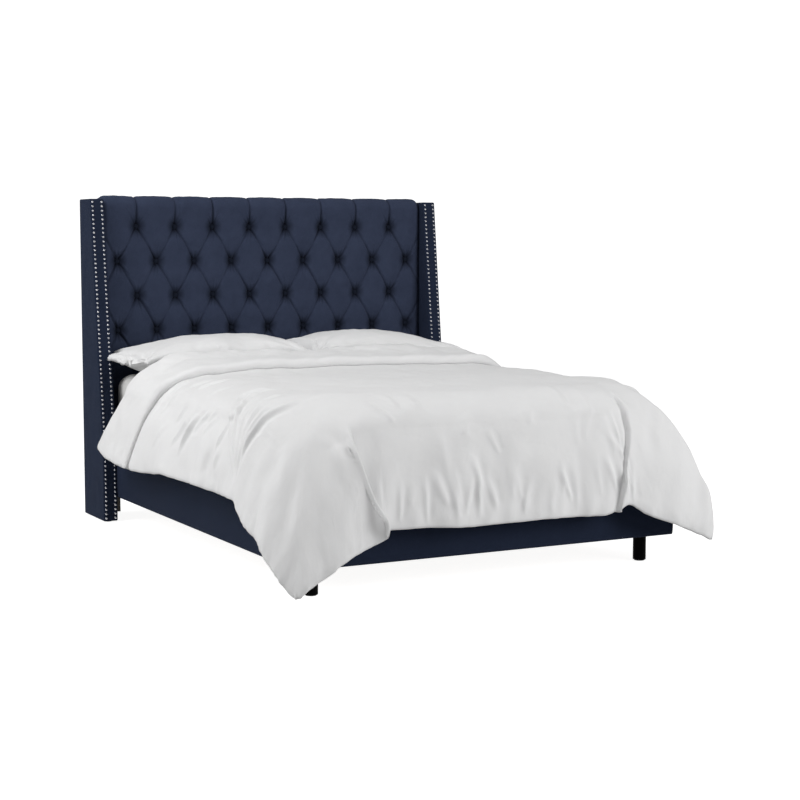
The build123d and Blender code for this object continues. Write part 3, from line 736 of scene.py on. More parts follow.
def finer(grid: Array, factor: int) -> Array:
    """Resample a grid more closely with Catmull-Rom curves along both directions.

    Args:
        grid: rows and columns of points.
        factor: how many steps each old one becomes.

    Returns:
        The finer grid.
    """
    for axis in (0, 1):
        grid = np.moveaxis(grid, axis, 0)
        padded = np.concatenate((2 * grid[:1] - grid[1:2], grid, 2 * grid[-1:] - grid[-2:-1]))
        place = np.linspace(0, len(grid) - 1, (len(grid) - 1) * factor + 1)
        k = np.minimum(place.astype(int), len(grid) - 2)
        t = (place - k).reshape((-1,) + (1,) * (grid.ndim - 1))
        a, b, c, d = padded[k], padded[k + 1], padded[k + 2], padded[k + 3]
        curve = b + 0.5 * t * (c - a + t * (2 * a - 5 * b + 4 * c - d + t * (3 * (b - c) + d - a)))
        grid = np.moveaxis(curve, 0, axis)
    return grid


def two_walls(name: str, outer: Array, inner: Array, cloth: Array) -> bpy.types.Object:
    """Closed piece between two grids of points, joined along their rims.

    Args:
        name: the piece's name.
        outer: grid of the outer wall.
        inner: grid of the inner wall, of the same size.
        cloth: place on the cloth of each point of a wall.

    Returns:
        The piece.
    """
    rows, columns = outer.shape[:2]
    base = rows * columns
    front = grid_faces(rows, columns)
    faces = front + [tuple(i + base for i in face[::-1]) for face in front]
    top = np.arange(columns)
    right = np.arange(rows) * columns + columns - 1
    bottom = (rows - 1) * columns + top[::-1]
    left = (np.arange(rows) * columns)[::-1]
    rim = np.concatenate((top[:-1], right[:-1], bottom[:-1], left[:-1]))
    after = np.roll(rim, -1)
    faces += corner_faces(rim, rim + base, after + base, after)
    points = np.vstack((outer.reshape(-1, 3), inner.reshape(-1, 3)))
    return Shape(points, faces, np.tile(cloth.reshape(-1, 2), (2, 1))).piece(name, weld=WELD)


# Sub-assemblies


@dataclass
class Finishes:
    """Every material of the bed, made once, and the way that pieces get them."""

    made: dict[str, bpy.types.Material] = field(default_factory=dict)

    def build(self) -> None:
        """Make the finishes that follow the cloth's own places, and those on the object's."""
        coating = {"marks": (35.0, 5.0, 0.75), "contrast": (2.4, 1.2), "rough": (0.38, 0.25),
                   "grain": (700.0, 2.0, 0.6), "relief": (0.0002, 0.5), "metallic": 0.2, "coat": 0.15}
        on_cloth = {
            "navy_fabric": UpholsteryCloth(),
            # The buttons' copy of the navy cloth is darker: painted shade of the pits they sit in.
            "navy_button": UpholsteryCloth("navy_button", (0.0105, 0.0140, 0.0250),
                                           (0.0080, 0.0105, 0.0190), (0.0135, 0.0175, 0.0300)),
            # The tufted cover's copy of the navy cloth is brighter than the wings' and rails': painted light
            # that makes up for the shade the wings cast on the panel. Its valleys also get painted shade.
            "navy_tufted": UpholsteryCloth("navy_tufted", (0.0370, 0.0475, 0.0840),
                                           (0.0275, 0.0355, 0.0640), (0.0485, 0.0610, 0.1040), tufted=True),
            "back_cloth": UpholsteryCloth("back_dust_cloth", (0.014, 0.017, 0.028), (0.010, 0.012, 0.020),
                                          (0.022, 0.026, 0.042), yarn=0.0024, nap=0.1),
            "duvet_cotton": BedCotton("duvet_cotton", (0.80, 0.80, 0.80), (0.76, 0.76, 0.765)),
            "pillow_cotton": BedCotton("pillow_cotton", (0.79, 0.79, 0.79), (0.75, 0.75, 0.755),
                                       0.0012, 9.0),
            "sheet_cotton": BedCotton("sheet_cotton", (0.66, 0.655, 0.645), (0.60, 0.595, 0.585),
                                      0.0018, 6.0),
        }
        on_object = {
            "navy_solid": UpholsteryCloth("navy_upholstery_plain"),
            "nail_metal": BareMetal("polished_nickel", (0.50, 0.50, 0.52), (0.34, 0.34, 0.36), 0.24),
            "mattress_ticking": QuiltedTicking(),
            "foam": SoftFoam(),
            "plywood": LayeredBoard(),
            "slat_wood": Timber("slat_pine", (0.66, 0.47, 0.26), (0.46, 0.29, 0.13), (0.06, 1.0, 1.0)),
            "frame_timber": Timber("frame_softwood", (0.58, 0.40, 0.21), (0.38, 0.23, 0.10),
                                   (1.0, 0.06, 1.0)),
            "stained_timber": Timber("stained_upright", (0.040, 0.032, 0.026), (0.018, 0.014, 0.012),
                                     (1.0, 1.0, 0.06)),
            "upright_timber": Timber("upright_softwood", (0.58, 0.40, 0.21), (0.38, 0.23, 0.10),
                                     (1.0, 1.0, 0.06)),
            "leg_black": GrainedSkin("black_lacquer", (0.0012, 0.0012, 0.0014), (0.0035, 0.0033, 0.0033),
                                     marks=(24.0, 5.0, 0.7), contrast=(1.8, 0.7), rough=(0.42, 0.2),
                                     grain=(160.0, 3.0, 0.5), upright=0.06, relief=(0.0003, 0.35),
                                     shine=0.02),
            "glide_plastic": GrainedSkin("glide_plastic", (0.016, 0.016, 0.017), (0.06, 0.06, 0.06)),
            "leveller_plastic": GrainedSkin("leveller_plastic", (0.011, 0.011, 0.012), (0.05, 0.05, 0.05)),
            "bracket_steel": GrainedSkin("bracket_steel", (0.018, 0.018, 0.020), (0.06, 0.058, 0.055),
                                         **coating),
            "leg_steel": GrainedSkin("leg_steel", (0.009, 0.009, 0.010), (0.04, 0.04, 0.04), **coating),
            "bolt_steel": BareMetal("zinc_plate", (0.62, 0.62, 0.64), (0.42, 0.42, 0.43), 0.3),
        }
        for layout, kinds in ((Layout.CLOTH, on_cloth), (Layout.OBJECT, on_object)):
            for slot, finish in kinds.items():
                self.made[slot] = finish.build(layout)

    def dress(self, thing: bpy.types.Object, slot: str, finish: str | None = None) -> None:
        """Put a finish on a piece: the one given, or else its slot's.

        Args:
            thing: the piece.
            slot: the record's material slot.
            finish: the finish's key where it differs from the slot.
        """
        thing.data.materials.clear()
        thing.data.materials.append(self.made[finish or slot])

    def fit(self, thing: bpy.types.Object, slot: str, body: str, node: str | None,
            fill: float | None = None, finish: str | None = None) -> None:
        """Dress a new piece, put it on its body and let it stand for its node.

        Args:
            thing: the piece.
            slot: the record's material slot.
            body: the body that it rides.
            node: the CAD node that it replaces, if any.
            fill: how full a padded piece is; None where it isn't padded. Not used.
            finish: the finish's key where it differs from the slot.
        """
        self.dress(thing, slot, finish)
        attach(thing, body)
        if node is not None:
            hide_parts(node)
        log.info("%s rides %s", thing.name, body)


@dataclass
class CarriedNodes:
    """CAD nodes that stay as they are and only get their finish."""

    finishes: Finishes

    @staticmethod
    def finish_for(node: str, slot: str) -> str:
        """Choose a node's finish: its slot's, but with the grain along the piece.

        Args:
            node: the node's name.
            slot: its slot in the record.

        Returns:
            The finish's key.
        """
        if node.startswith("headboard_stile"):
            return "stained_timber"
        if slot == "navy_fabric":
            return "navy_solid"
        if slot == "frame_timber" and node.startswith("headboard") and "rail" in node:
            return "slat_wood"
        if slot == "frame_timber" and node.startswith(("wing_core", "centre_leg")):
            return "upright_timber"
        return slot

    def dress(self) -> None:
        """Give every shown CAD node the finish of its slot in the record."""
        for row in frame["record"]["subparts"]:
            node = frame["nodes"][row["node"]]
            if not node.hide_render:
                finish = self.finish_for(row["node"], row["material_slot"])
                self.finishes.dress(node, row["material_slot"], finish)
                log.info("node %s wears %s", row["node"], finish)


@dataclass
class Headboard:
    """Tufted headboard: cover, foam and buttons."""

    finishes: Finishes
    back: float
    half: float = 0.804
    underside: float = 0.378
    top: float = 1.424
    face: float = 0.098
    edge_radius: float = 0.032
    back_reach: float = 0.004
    top_row: float = 1.307
    row_pitch: float = 0.1556
    button_pitch: float = 0.1832
    rows: int = 5
    top_count: int = 8
    puff: float = 0.029
    pit: float = 0.0235
    dimple: float = 0.058
    crease_width: float = 0.0040
    crease_scale: float = 0.158
    top_puff: float = 0.009
    side_lap: float = 0.024
    foam_inset: float = 0.006
    wall: float = 0.0022
    pleat_reach: float = 0.11
    button_radius: float = 0.011
    button_seat: float = 0.0012
    button_profile: tuple[tuple[float, float], ...] = (
        (0.2, 0.0062), (0.55, 0.0056), (0.82, 0.0042), (0.97, 0.002), (1.0, -0.0005), (0.9, -0.002),
    )
    button_points: int = 24
    step: float = 0.0036

    def build(self) -> None:
        """Make and dress the headboard's soft pieces."""
        cover = self.cover("tufted_cover", 0.0, self.step, True)
        # The tufted cover wears the brightened navy copy: painted light, with painted shade in its valleys.
        self.finishes.fit(cover, "navy_fabric", "bed_frame", "headboard_tufted_cover", 0.8, "navy_tufted")
        foam = self.cover("headboard_foam_pad", self.foam_inset, self.step * 4, False)
        self.finishes.fit(foam, "foam", "bed_frame", "headboard_foam", 0.9)
        buttons = self.buttons()
        # The buttons wear the darkened navy copy: painted shade.
        self.finishes.fit(buttons, "navy_fabric", "bed_frame", "tufting_buttons", finish="navy_button")

    def button_places(self) -> Array:
        """Places of the buttons: rows of 8 and 9 by turns, counted down from the top.

        Returns:
            X and height of each.
        """
        places = []
        for row in range(self.rows):
            count = self.top_count + row % 2
            x = (np.arange(count) - (count - 1) / 2) * self.button_pitch
            places.append(np.stack((x, np.full(count, self.top_row - row * self.row_pitch)), -1))
        return np.vstack(places)

    def path(self, inset: float, step: float) -> tuple[Array, Array, Array]:
        """Outline of the headboard from its underside up the face and back over its top.

        Args:
            inset: how far the outline lies inside the cover's.
            step: distance between points.

        Returns:
            Way along the outline, points (reach, height) and outward directions.
        """
        radius = self.edge_radius - inset
        face = self.face - inset
        top = self.top - inset
        rise = top - radius - self.underside
        bend = radius * np.pi / 2
        level = face - radius - self.back_reach
        way = np.linspace(0, rise + bend + level, int((rise + bend + level) / step) + 1)
        angle = np.clip((way - rise) / radius, 0, np.pi / 2)
        past = np.clip(way - rise - bend, 0, None)
        reach = face - radius + radius * np.cos(angle) - past
        height = self.underside + np.minimum(way, rise) + radius * np.sin(angle)
        outward = np.stack((np.cos(angle), np.sin(angle)), -1)
        return way, np.stack((reach, height), -1), outward

    def tufts(self, x: Array, height: Array, fine: bool) -> Array:
        """How far the cloth stands off its seat, from 0 at a button to 1 on a crest.

        A pit round each button rises over a wide shallow dimple. Slanting coordinates make
        every diamond a unit square, slightly domed as the product of two arches and parted by
        creases, each with a lip where the cloth laps over. Above the top row the creases run
        straight up as flutes.

        Args:
            x: place across the headboard.
            height: place up the face, running on over the top edge.
            fine: cut the creases and pleats of the cloth as well.

        Returns:
            The share of the puff height at each point.
        """
        up = (height - self.top_row) / (2 * self.row_pitch)
        shift = (self.top_count - 1) / 2 % 1
        above = height > self.top_row
        flute = x / self.button_pitch - shift
        one = np.where(above, flute, x / self.button_pitch + up - shift) % 1
        two = np.where(above, flute, x / self.button_pitch - up - shift) % 1
        dome = ((1 - np.abs(2 * one - 1) ** 2.6) * (1 - np.abs(2 * two - 1) ** 2.6)) ** 0.6
        places = self.button_places()
        gap = np.min([np.hypot(x - bx, (height - bz) * np.where(height > bz, 1.0, 0.92))
                      for bx, bz in places], axis=0)
        pit = 0.60 * np.exp(-(gap / self.pit) ** 1.8) + 0.40 * np.exp(-(gap / self.dimple) ** 1.7)
        share = (1 - pit) * (0.84 + 0.16 * dome)
        if not fine:
            return np.clip(share * 0.8 - 0.25, 0, 1)
        for family, depth, lap in ((one, 0.24, 0.09), (two, 0.15, 0.04)):
            away = np.where(family > 0.5, family - 1, family) * self.crease_scale
            wave = 0.75 + 0.25 * ripple(np.stack((x, height), -1), 0.12, 8, 10)
            cut = depth * wave * np.exp(-np.abs(away / self.crease_width) ** 1.5)
            lip = lap * wave * np.exp(-np.maximum(away, 0) / 0.014) * smooth_step((away - 0.002) / 0.006)
            share = share - cut + np.where(family is two, ~above, True) * lip
        return np.clip(share + self.pleats(x, height), 0, 1)

    def pleats(self, x: Array, height: Array) -> Array:
        """Fine folds fanning up and down from each button, as shares of the puff height.

        Each fold is a thin groove along a ray, beside a soft ridge, and fades outwards.

        Args:
            x: place across the headboard.
            height: place up the face.

        Returns:
            The share at each point.
        """
        generator = np.random.default_rng(7)
        total = np.zeros(x.shape)
        for bx, bz in self.button_places():
            near = np.hypot(x - bx, height - bz) < self.pleat_reach
            dx, dz = x[near] - bx, height[near] - bz
            distance = np.hypot(dx, dz)
            bearing = np.arctan2(dx, np.abs(dz))
            fold = np.zeros(dx.shape)
            for below in (False, True):
                half = (dz < 0) if below else (dz > 0)
                for line in np.linspace(-0.62, 0.62, 6 if below else 5):
                    line = line + generator.uniform(-0.10, 0.10)
                    length = generator.uniform(0.025, 0.062)
                    depth = generator.uniform(0.05, 0.17)
                    across = (bearing - line) * distance
                    window = np.exp(-((distance - 0.016) / length) ** 2)
                    window = window * smooth_step((distance - 0.010) / 0.01)
                    groove = np.exp(-(across / 0.0030) ** 2)
                    ridge = 0.6 * np.exp(-((across - 0.0062) / 0.0042) ** 2)
                    fold += half * depth * window * (ridge - groove)
            total[near] += fold
        return total

    def cover(self, name: str, inset: float, step: float, fine: bool) -> bpy.types.Object:
        """Closed pad whose face stands off its outline by the height of the tufts.

        Args:
            name: the piece's name.
            inset: how far its face lies inside the cover's.
            step: distance between points.
            fine: cut the creases and pleats of the cloth as well.

        Returns:
            The piece.
        """
        way, outline, outward = self.path(inset, step)
        x = np.linspace(-self.half + inset, self.half - inset, int(2 * self.half / step) + 1)
        across, along = np.meshgrid(x, way)
        rise = self.top - self.edge_radius - self.underside
        over = smooth_step((way - rise) / (way[-1] - rise))
        crest = self.puff * (1 - over) + self.top_puff * over
        share = self.tufts(across, along + self.underside, fine)
        lap = np.clip((np.abs(across) - self.half + self.side_lap) / self.side_lap, 0, 1)
        share = share * np.sqrt(1 - lap ** 2)
        places = np.stack((across, along), -1)
        slack = 0.0007 * ripple(places, 0.06, 3, 18) + 0.0003 * ripple(places, 0.02, 4, 18)
        stand = np.maximum(crest[:, None] * share + slack * (1 - lap) * share, 0.0)
        reach = outline[:, None, 0] + outward[:, None, 0] * stand
        height = outline[:, None, 1] + outward[:, None, 1] * stand
        grid = np.stack((across, self.back - reach, height), -1)
        # The relief kept for the finish is the mask of painted shade: low in the pits and creases, held at 1
        # along the bottom and at the side laps, so no shade is painted there.
        relief = np.maximum(share, 1 - smooth_step((along - self.row_pitch) / 0.05)) if fine else share
        relief = np.where(lap > 0, np.maximum(relief, smooth_step(lap * 3)), relief)
        return self.closed(name, grid, places, outline, x, relief)

    def closed(self, name: str, grid: Array, places: Array, outline: Array, x: Array,
               relief: Array) -> bpy.types.Object:
        """Close the face with its sides, its underside and the wall behind it.

        Args:
            name: the piece's name.
            grid: the face's points.
            places: the face's places on the cloth.
            outline: reach and height of each row.
            x: place across of each column.
            relief: how proud the cloth stands at each point, kept on the mesh for its finish to lay painted
                shade where it is low.

        Returns:
            The piece.
        """
        rows, columns = grid.shape[:2]
        inner_reach = np.clip(outline[:, 0] - self.wall, self.back_reach, None)
        inner_height = np.minimum(outline[:, 1], outline[:, 1].max() - self.wall)
        inner_height[-1] = inner_height[-2]
        inner = np.empty((rows, 2, 3))
        for end, place in enumerate((x[0], x[-1])):
            inner[:, end, 0] = place
            inner[:, end, 1] = self.back - inner_reach
            inner[:, end, 2] = inner_height
        base = rows * columns
        shape = Shape(np.vstack((grid.reshape(-1, 3), inner.reshape(-1, 3))))
        shape.faces = grid_faces(rows, columns)
        r = np.arange(rows - 1)
        first, last = r * columns, r * columns + columns - 1
        near, far = base + 2 * r, base + 2 * r + 1
        shape.faces += corner_faces(first, first + columns, near + 2, near)
        shape.faces += corner_faces(last, far, far + 2, last + columns)
        shape.faces += corner_faces(near, near + 2, far + 2, far)
        shape.faces.append(tuple(range(columns))[::-1] + (base, base + 1))
        end = (rows - 1) * columns
        shape.faces.append(tuple(range(end, end + columns)) + (base + 2 * rows - 1, base + 2 * rows - 2))
        inner_cloth = np.zeros((rows, 2, 2))
        inner_cloth[:, :, 0] = (x[0], x[-1])
        inner_cloth[:, :, 1] = places[:, :1, 1]
        shape.cloth = np.vstack((places.reshape(-1, 2), inner_cloth.reshape(-1, 2)))
        thing = shape.piece(name)
        values = np.concatenate((relief.ravel(), np.ones(2 * rows))).astype(np.float32)
        thing.data.attributes.new("relief", "FLOAT", "POINT").data.foreach_set("value", values)
        weld_points(thing, WELD)
        return thing

    def buttons(self) -> bpy.types.Object:
        """Covered buttons: a dome turned round its middle, set in each valley.

        Returns:
            All of them as one piece.
        """
        turn = np.linspace(0, 2 * np.pi, self.button_points, endpoint=False)
        profile = np.array(self.button_profile)
        radius = profile[:, 0] * self.button_radius
        proud = np.repeat(-profile[:, 1:2], self.button_points, 1)
        unit = np.stack((np.outer(radius, np.cos(turn)), proud, np.outer(radius, np.sin(turn))), -1)
        seats = [np.array((x, self.back - self.face - self.button_seat, z)) for x, z in self.button_places()]
        first, *others = (ring_form(unit + seat) for seat in seats)
        return reduce(Shape.joined, others, first).piece("covered_buttons", weld=WELD)


@dataclass
class Wing:
    """One wing's padded cover, carried up the wing as rounded rectangles."""

    finishes: Finishes
    back: float
    side: Side
    inner: float = 0.8055
    thickness: float = 0.064
    low: float = 0.005
    bend: float = 0.300
    top: float = 1.428
    depth_floor: float = 0.280
    depth_top: float = 0.155
    edge: float = 0.006
    crown: float = 0.0016

    def build(self) -> None:
        """Make and dress the wing's cover."""
        self.finishes.fit(self.cover(), "navy_fabric", "bed_frame", f"wing_cover_{self.side.word}", 0.95)

    def depth(self, height: Array) -> Array:
        """Depth of the wing: full to the bend, then tapering evenly to the top."""
        share = np.clip((height - self.bend) / (self.top - self.bend), 0, 1)
        return self.depth_floor + (self.depth_top - self.depth_floor) * share

    def cover(self) -> bpy.types.Object:
        """Closed cover: rings up the wing, drawn in at both ends over a rounded edge.

        Each face swells by a quartic arch across it, varied by smooth noise.

        Returns:
            The piece.
        """
        draw, height = rounded_edge(self.low, self.top, self.edge, self.edge, 6, 188)
        depth = self.depth(height)
        half_x = self.thickness / 2 - draw
        half_y = depth / 2 - draw
        rings = rounded_ring(half_x, half_y, np.maximum(self.edge - draw, 0.0008), 6, 14)
        centre_x = self.side.value * (self.inner + self.thickness / 2)
        flat_x, flat_y = rings[..., 0], rings[..., 1]
        place = np.stack((flat_x + flat_y * 3.1, np.repeat(height[:, None], rings.shape[1], 1)), -1)
        ends = smooth_step((height - self.low) / 0.05) * smooth_step((self.top - height) / 0.05)
        on_side = np.abs(np.abs(flat_x) - half_x[:, None]) < 1e-6
        on_front = np.abs(np.abs(flat_y) - half_y[:, None]) < 1e-6
        swell_side = (1 - (flat_y / half_y[:, None]) ** 4) * on_side
        swell_front = (1 - (flat_x / half_x[:, None]) ** 4) * on_front
        slack = 1 + 0.5 * ripple(place, 0.22, 21 + self.side.value, 12)
        x = flat_x + np.sign(flat_x) * self.crown * swell_side * slack * ends[:, None]
        y = flat_y + np.sign(flat_y) * 0.5 * self.crown * swell_front * slack * ends[:, None]
        reach = depth[:, None] / 2 + y
        tall = np.repeat(height[:, None], rings.shape[1], 1)
        points = np.stack((centre_x + x, self.back - reach, tall), -1)
        return ring_form(points).piece(f"wing_padding_{self.side.word}", weld=WELD)


@dataclass
class Rail:
    """Padded cover of a side rail or of the footboard: a C-shaped profile carried along it."""

    finishes: Finishes
    back: float
    low: float = 0.107
    top: float = 0.361
    outer: float = 0.804
    board_inner: float = 0.767
    board_outer: float = 0.792
    board_low: float = 0.111
    board_top: float = 0.355
    edge: float = 0.009
    end_pad: float = 0.010
    gap: float = 0.0004
    crown: float = 0.0022

    def profile(self, outer: float, inner: float, board: float) -> tuple[Array, Array]:
        """Closed C-shaped outline (out, height) and how much of it swells.

        Args:
            outer: place of the padded face.
            inner: place of the board's bare face.
            board: place of the board's padded face.

        Returns:
            The outline's points, and 1 where the face swells, else 0.
        """
        draw, climb = rounded_edge(self.low, self.top, self.edge, self.edge, 7, 24)
        face = np.stack((outer - draw, climb), -1)
        above, below = self.board_top + self.gap, self.board_low - self.gap
        seat = board + self.gap
        back = ((inner, self.top), (inner, above), (seat, above), (seat, below), (inner, below))
        outline = np.vstack(((inner, self.low), face, back))
        swells = np.zeros(len(outline))
        swells[8:32] = 1.0
        level = (outline[:, 1] - self.low) / (self.top - self.low)
        return outline, swells * (1 - (2 * level - 1) ** 4)

    def side_cover(self, side: Side, start: float, end: float) -> None:
        """Make and dress one side rail's cover.

        Args:
            side: the bed's side.
            start: reach of its head end.
            end: reach of its foot end.
        """
        outline, swell = self.profile(self.outer, self.board_inner, self.board_outer)
        way = np.linspace(start, end, 170)
        place = np.stack(np.meshgrid(outline[:, 1] * 3.0, way), -1)
        slack = 1 + 0.7 * ripple(place, 0.3, 31 + side.value, 12, (1.0, 2.0))
        out = outline[None, :, 0] + self.crown * swell[None, :] * slack
        x = side.value * out
        y = np.repeat(self.back - way[:, None], len(outline), 1)
        z = np.repeat(outline[None, :, 1], len(way), 0)
        thing = ring_form(np.stack((x, y, z), -1)).piece(f"rail_padding_{side.word}", weld=WELD)
        self.finishes.fit(thing, "navy_fabric", "bed_frame", f"side_rail_cover_{side.word}", 0.95)

    def foot_cover(self, inner: float, front: float, board: float) -> None:
        """Make and dress the footboard's cover, from one outer face of the bed to the other.

        Args:
            inner: reach of the board's bare face.
            front: reach of the padded face.
            board: reach of the board's padded face.
        """
        outline, swell = self.profile(front, inner, board)
        draw, x_run = rounded_edge(-self.outer, self.outer, self.edge, self.edge, 6, 198)
        place = np.stack(np.meshgrid(outline[:, 1] * 3.0, x_run), -1)
        slack = 1 + 0.7 * ripple(place, 0.3, 37, 12, (1.0, 2.0))
        reach = outline[None, :, 0] + self.crown * swell[None, :] * slack
        on_face = (outline[:, 0] > board + 0.003)[None, :]
        reach = reach - draw[:, None] * on_face
        # The two innermost points of the outline close the pocket over the board's ends.
        reach[np.ix_(np.abs(x_run) > self.outer - self.end_pad, [-3, -2])] = inner
        x = np.repeat(x_run[:, None], len(outline), 1)
        z = np.repeat(outline[None, :, 1], len(x_run), 0)
        thing = ring_form(np.stack((x, self.back - reach, z), -1)).piece("footboard_padding", weld=WELD)
        self.finishes.fit(thing, "navy_fabric", "bed_frame", "footboard_cover", 0.95)


@dataclass
class BackCloth:
    """Dust cloth stretched over the headboard's back, slightly slack between its tacks.

    Smooth noise that fades towards the rim bows it, and a sine along the rim puckers it.
    """

    finishes: Finishes
    back: float
    half: float = 0.804
    low: float = 0.060
    top: float = 1.424
    outer: float = 0.003
    thickness: float = 0.001
    slack: float = 0.0008
    deepest_share: float = 0.5
    pucker: float = 0.0004
    tack_pitch: float = 0.038
    held_rim: float = 0.04

    def build(self) -> None:
        """Make and dress the cloth as a closed thin sheet."""
        x, z = np.meshgrid(np.linspace(-self.half, self.half, 90), np.linspace(self.low, self.top, 80))
        rim = np.minimum(self.half - np.abs(x), np.minimum(z - self.low, self.top - z))
        free = smooth_step(rim / self.held_rim)
        place = np.stack((x, z), -1)
        bow = self.slack * free * np.maximum(ripple(place, 0.35, 41, 12), -self.deepest_share)
        puckers = self.pucker * (1 - free) * np.sin(2 * np.pi * (x + z) / self.tack_pitch)
        y = self.back - self.outer - self.thickness / 2 + bow + puckers
        grid = np.stack((x, y, z), -1)
        lift = grid_normals(grid) * (self.thickness / 2)
        thing = two_walls("dust_cloth", grid + lift, grid - lift, place)
        self.finishes.fit(thing, "back_cloth", "bed_frame", "headboard_back_cloth")


@dataclass
class MattressForm:
    """The mattress's form, shared by the mattress and its fitted sheet.

    Rings of rounded rectangles climb the edge by shares of its height and draw in over the
    crowned top. The foot corners are drawn in by a Gaussian of the distance to the corner.
    """

    back: float
    half_x: float = 0.762
    head: float = 0.13315
    foot: float = 2.15115
    low: float = 0.345
    top: float = 0.645
    low_round: float = 0.022
    top_round: float = 0.062
    corner: float = 0.070
    least_corner: float = 0.012
    crown: float = 0.008
    crown_run: float = 0.30
    innermost: float = 0.70
    soft_corner: float = 0.024
    soft_reach: float = 0.12

    def rings(self, grow: float, tuck: float | None = None) -> Array:
        """Rings from underneath, up the sides and over the top.

        Args:
            grow: how far the form lies outside the mattress.
            tuck: how far it runs in underneath before it ends; None for a closed form.

        Returns:
            Array of rings.
        """
        low, top = self.low - grow, self.top + grow
        inset, climb = rounded_edge(low, top, self.low_round, self.top_round, 9, 8)
        under = np.linspace(self.innermost if tuck is None else tuck, self.low_round, 7)[:-1]
        over = np.linspace(self.top_round, self.innermost, 26)[1:]
        inset = np.concatenate((under, inset, over))
        climb = np.concatenate((np.full(len(under), low), climb, np.full(len(over), top)))
        dome = smooth_step((inset - self.top_round) / self.crown_run) * (climb > top - 1e-6)
        half_x = self.half_x + grow - inset
        half_y = (self.foot - self.head) / 2 + grow - inset
        corner = np.maximum(self.corner + grow - inset * 0.55, self.least_corner)
        corner = np.minimum(corner, half_x * 0.8)
        flat = rounded_ring(half_x, half_y, corner, 9, 30)
        gap = half_x.max() - np.abs(flat[..., 0]) + half_y.max() + flat[..., 1]
        drawn = self.soft_corner * np.exp(-(gap / self.soft_reach) ** 2)
        flat = flat + np.stack((-np.sign(flat[..., 0]) * drawn, drawn), -1)
        middle = self.back - (self.head + self.foot) / 2
        height = np.repeat((climb + self.crown * dome)[:, None], flat.shape[1], 1)
        return np.stack((flat[..., 0], middle + flat[..., 1], height), -1)


@dataclass
class Mattress:
    """Mattress, and the fitted sheet stretched over it."""

    finishes: Finishes
    form: MattressForm
    sheet_gap: float = 0.0003
    sheet_thickness: float = 0.003
    sheet_tuck: float = 0.085
    slack: float = 0.0006
    gather: float = 0.0012
    gathers: int = 190
    clearance: float = 0.0002
    seat: float = 0.0009

    def build(self) -> None:
        """Make and dress the mattress and its sheet."""
        body = ring_form(self.form.rings(0.0)).piece("mattress_body", weld=WELD)
        self.finishes.fit(body, "mattress_ticking", "mattress", "mattress", 0.95)
        sheet = self.sheet()
        self.finishes.fit(sheet, "sheet_cotton", "mattress", "fitted_sheet")

    def sheet_middle(self) -> tuple[Array, Array]:
        """The mattress's form a little larger, with slack sides gathered at the corners.

        The slack is smooth noise round the sides; the gathers are a sine round the edge that
        rises towards the corners.

        Returns:
            Rings through the middle of the sheet, and level directions away from its centre.
        """
        rings = self.form.rings(self.sheet_gap + self.sheet_thickness / 2, self.sheet_tuck)
        centre = rings.mean(1, keepdims=True)
        away = rings - centre
        away[..., 2] = 0
        away /= np.maximum(np.linalg.norm(away, axis=-1, keepdims=True), 1e-6)
        half_length = (self.form.foot - self.form.head) / 2
        at_corner = np.minimum(np.abs(rings[..., 0]) / self.form.half_x,
                               np.abs(rings[..., 1] - centre[..., 1]) / half_length)
        corner = smooth_step((at_corner - 0.86) / 0.14)
        tall = rings[..., 2]
        side = (tall > self.form.low + 0.01) & (tall < self.form.top - 0.03)
        way = np.linspace(0, 1, rings.shape[1], endpoint=False)[None, :] + 0 * tall
        pulls = 0.5 + 0.5 * np.sin(way * 2 * np.pi * self.gathers + tall * 25)
        lift = self.slack * ripple(np.stack((way * 6, tall), -1), 0.14, 51) + self.gather * pulls * corner
        rings = rings + away * (np.maximum(lift, 0) * side)[..., None]
        rings[..., 2] -= self.seat * (rings[..., 2] < self.form.low)
        return rings, away

    def sheet_normals(self, rings: Array, away: Array) -> Array:
        """Normals of the sheet's middle, all turned off the mattress.

        Args:
            rings: the middle's points.
            away: level directions away from its centre.

        Returns:
            One direction for each point.
        """
        normal = -grid_normals(np.concatenate((rings, rings[:, :1]), 1))[:, :-1]
        outward = np.sign((normal * away).sum(-1, keepdims=True) + 1e-9)
        level = np.abs(normal[..., 2:]) > 0.7
        up = np.where(rings[..., 2:] > (self.form.low + self.form.top) / 2, 1.0, -1.0)
        return normal * np.where(level, np.sign(normal[..., 2:]) * up, outward)

    def sheet(self) -> bpy.types.Object:
        """Close the sheet: two walls that meet at the tucked hem and over the top."""
        rings, away = self.sheet_middle()
        lift = self.sheet_normals(rings, away) * (self.sheet_thickness / 2 - self.clearance)
        outer = ring_form(rings + lift, closed_ends=False)
        inner = ring_form(rings - lift, closed_ends=False)
        inner.faces = [face[::-1] for face in inner.faces]
        whole = outer.joined(inner)
        rows, count = rings.shape[:2]
        base, last = rows * count, (rows - 1) * count
        whole.faces.append(tuple(range(last, last + count)))
        whole.faces.append(tuple(range(base + last, base + last + count))[::-1])
        k = np.arange(count)
        after = (k + 1) % count
        whole.faces += corner_faces(k, k + base, after + base, after)
        return whole.piece("fitted_sheet_cloth", weld=WELD)


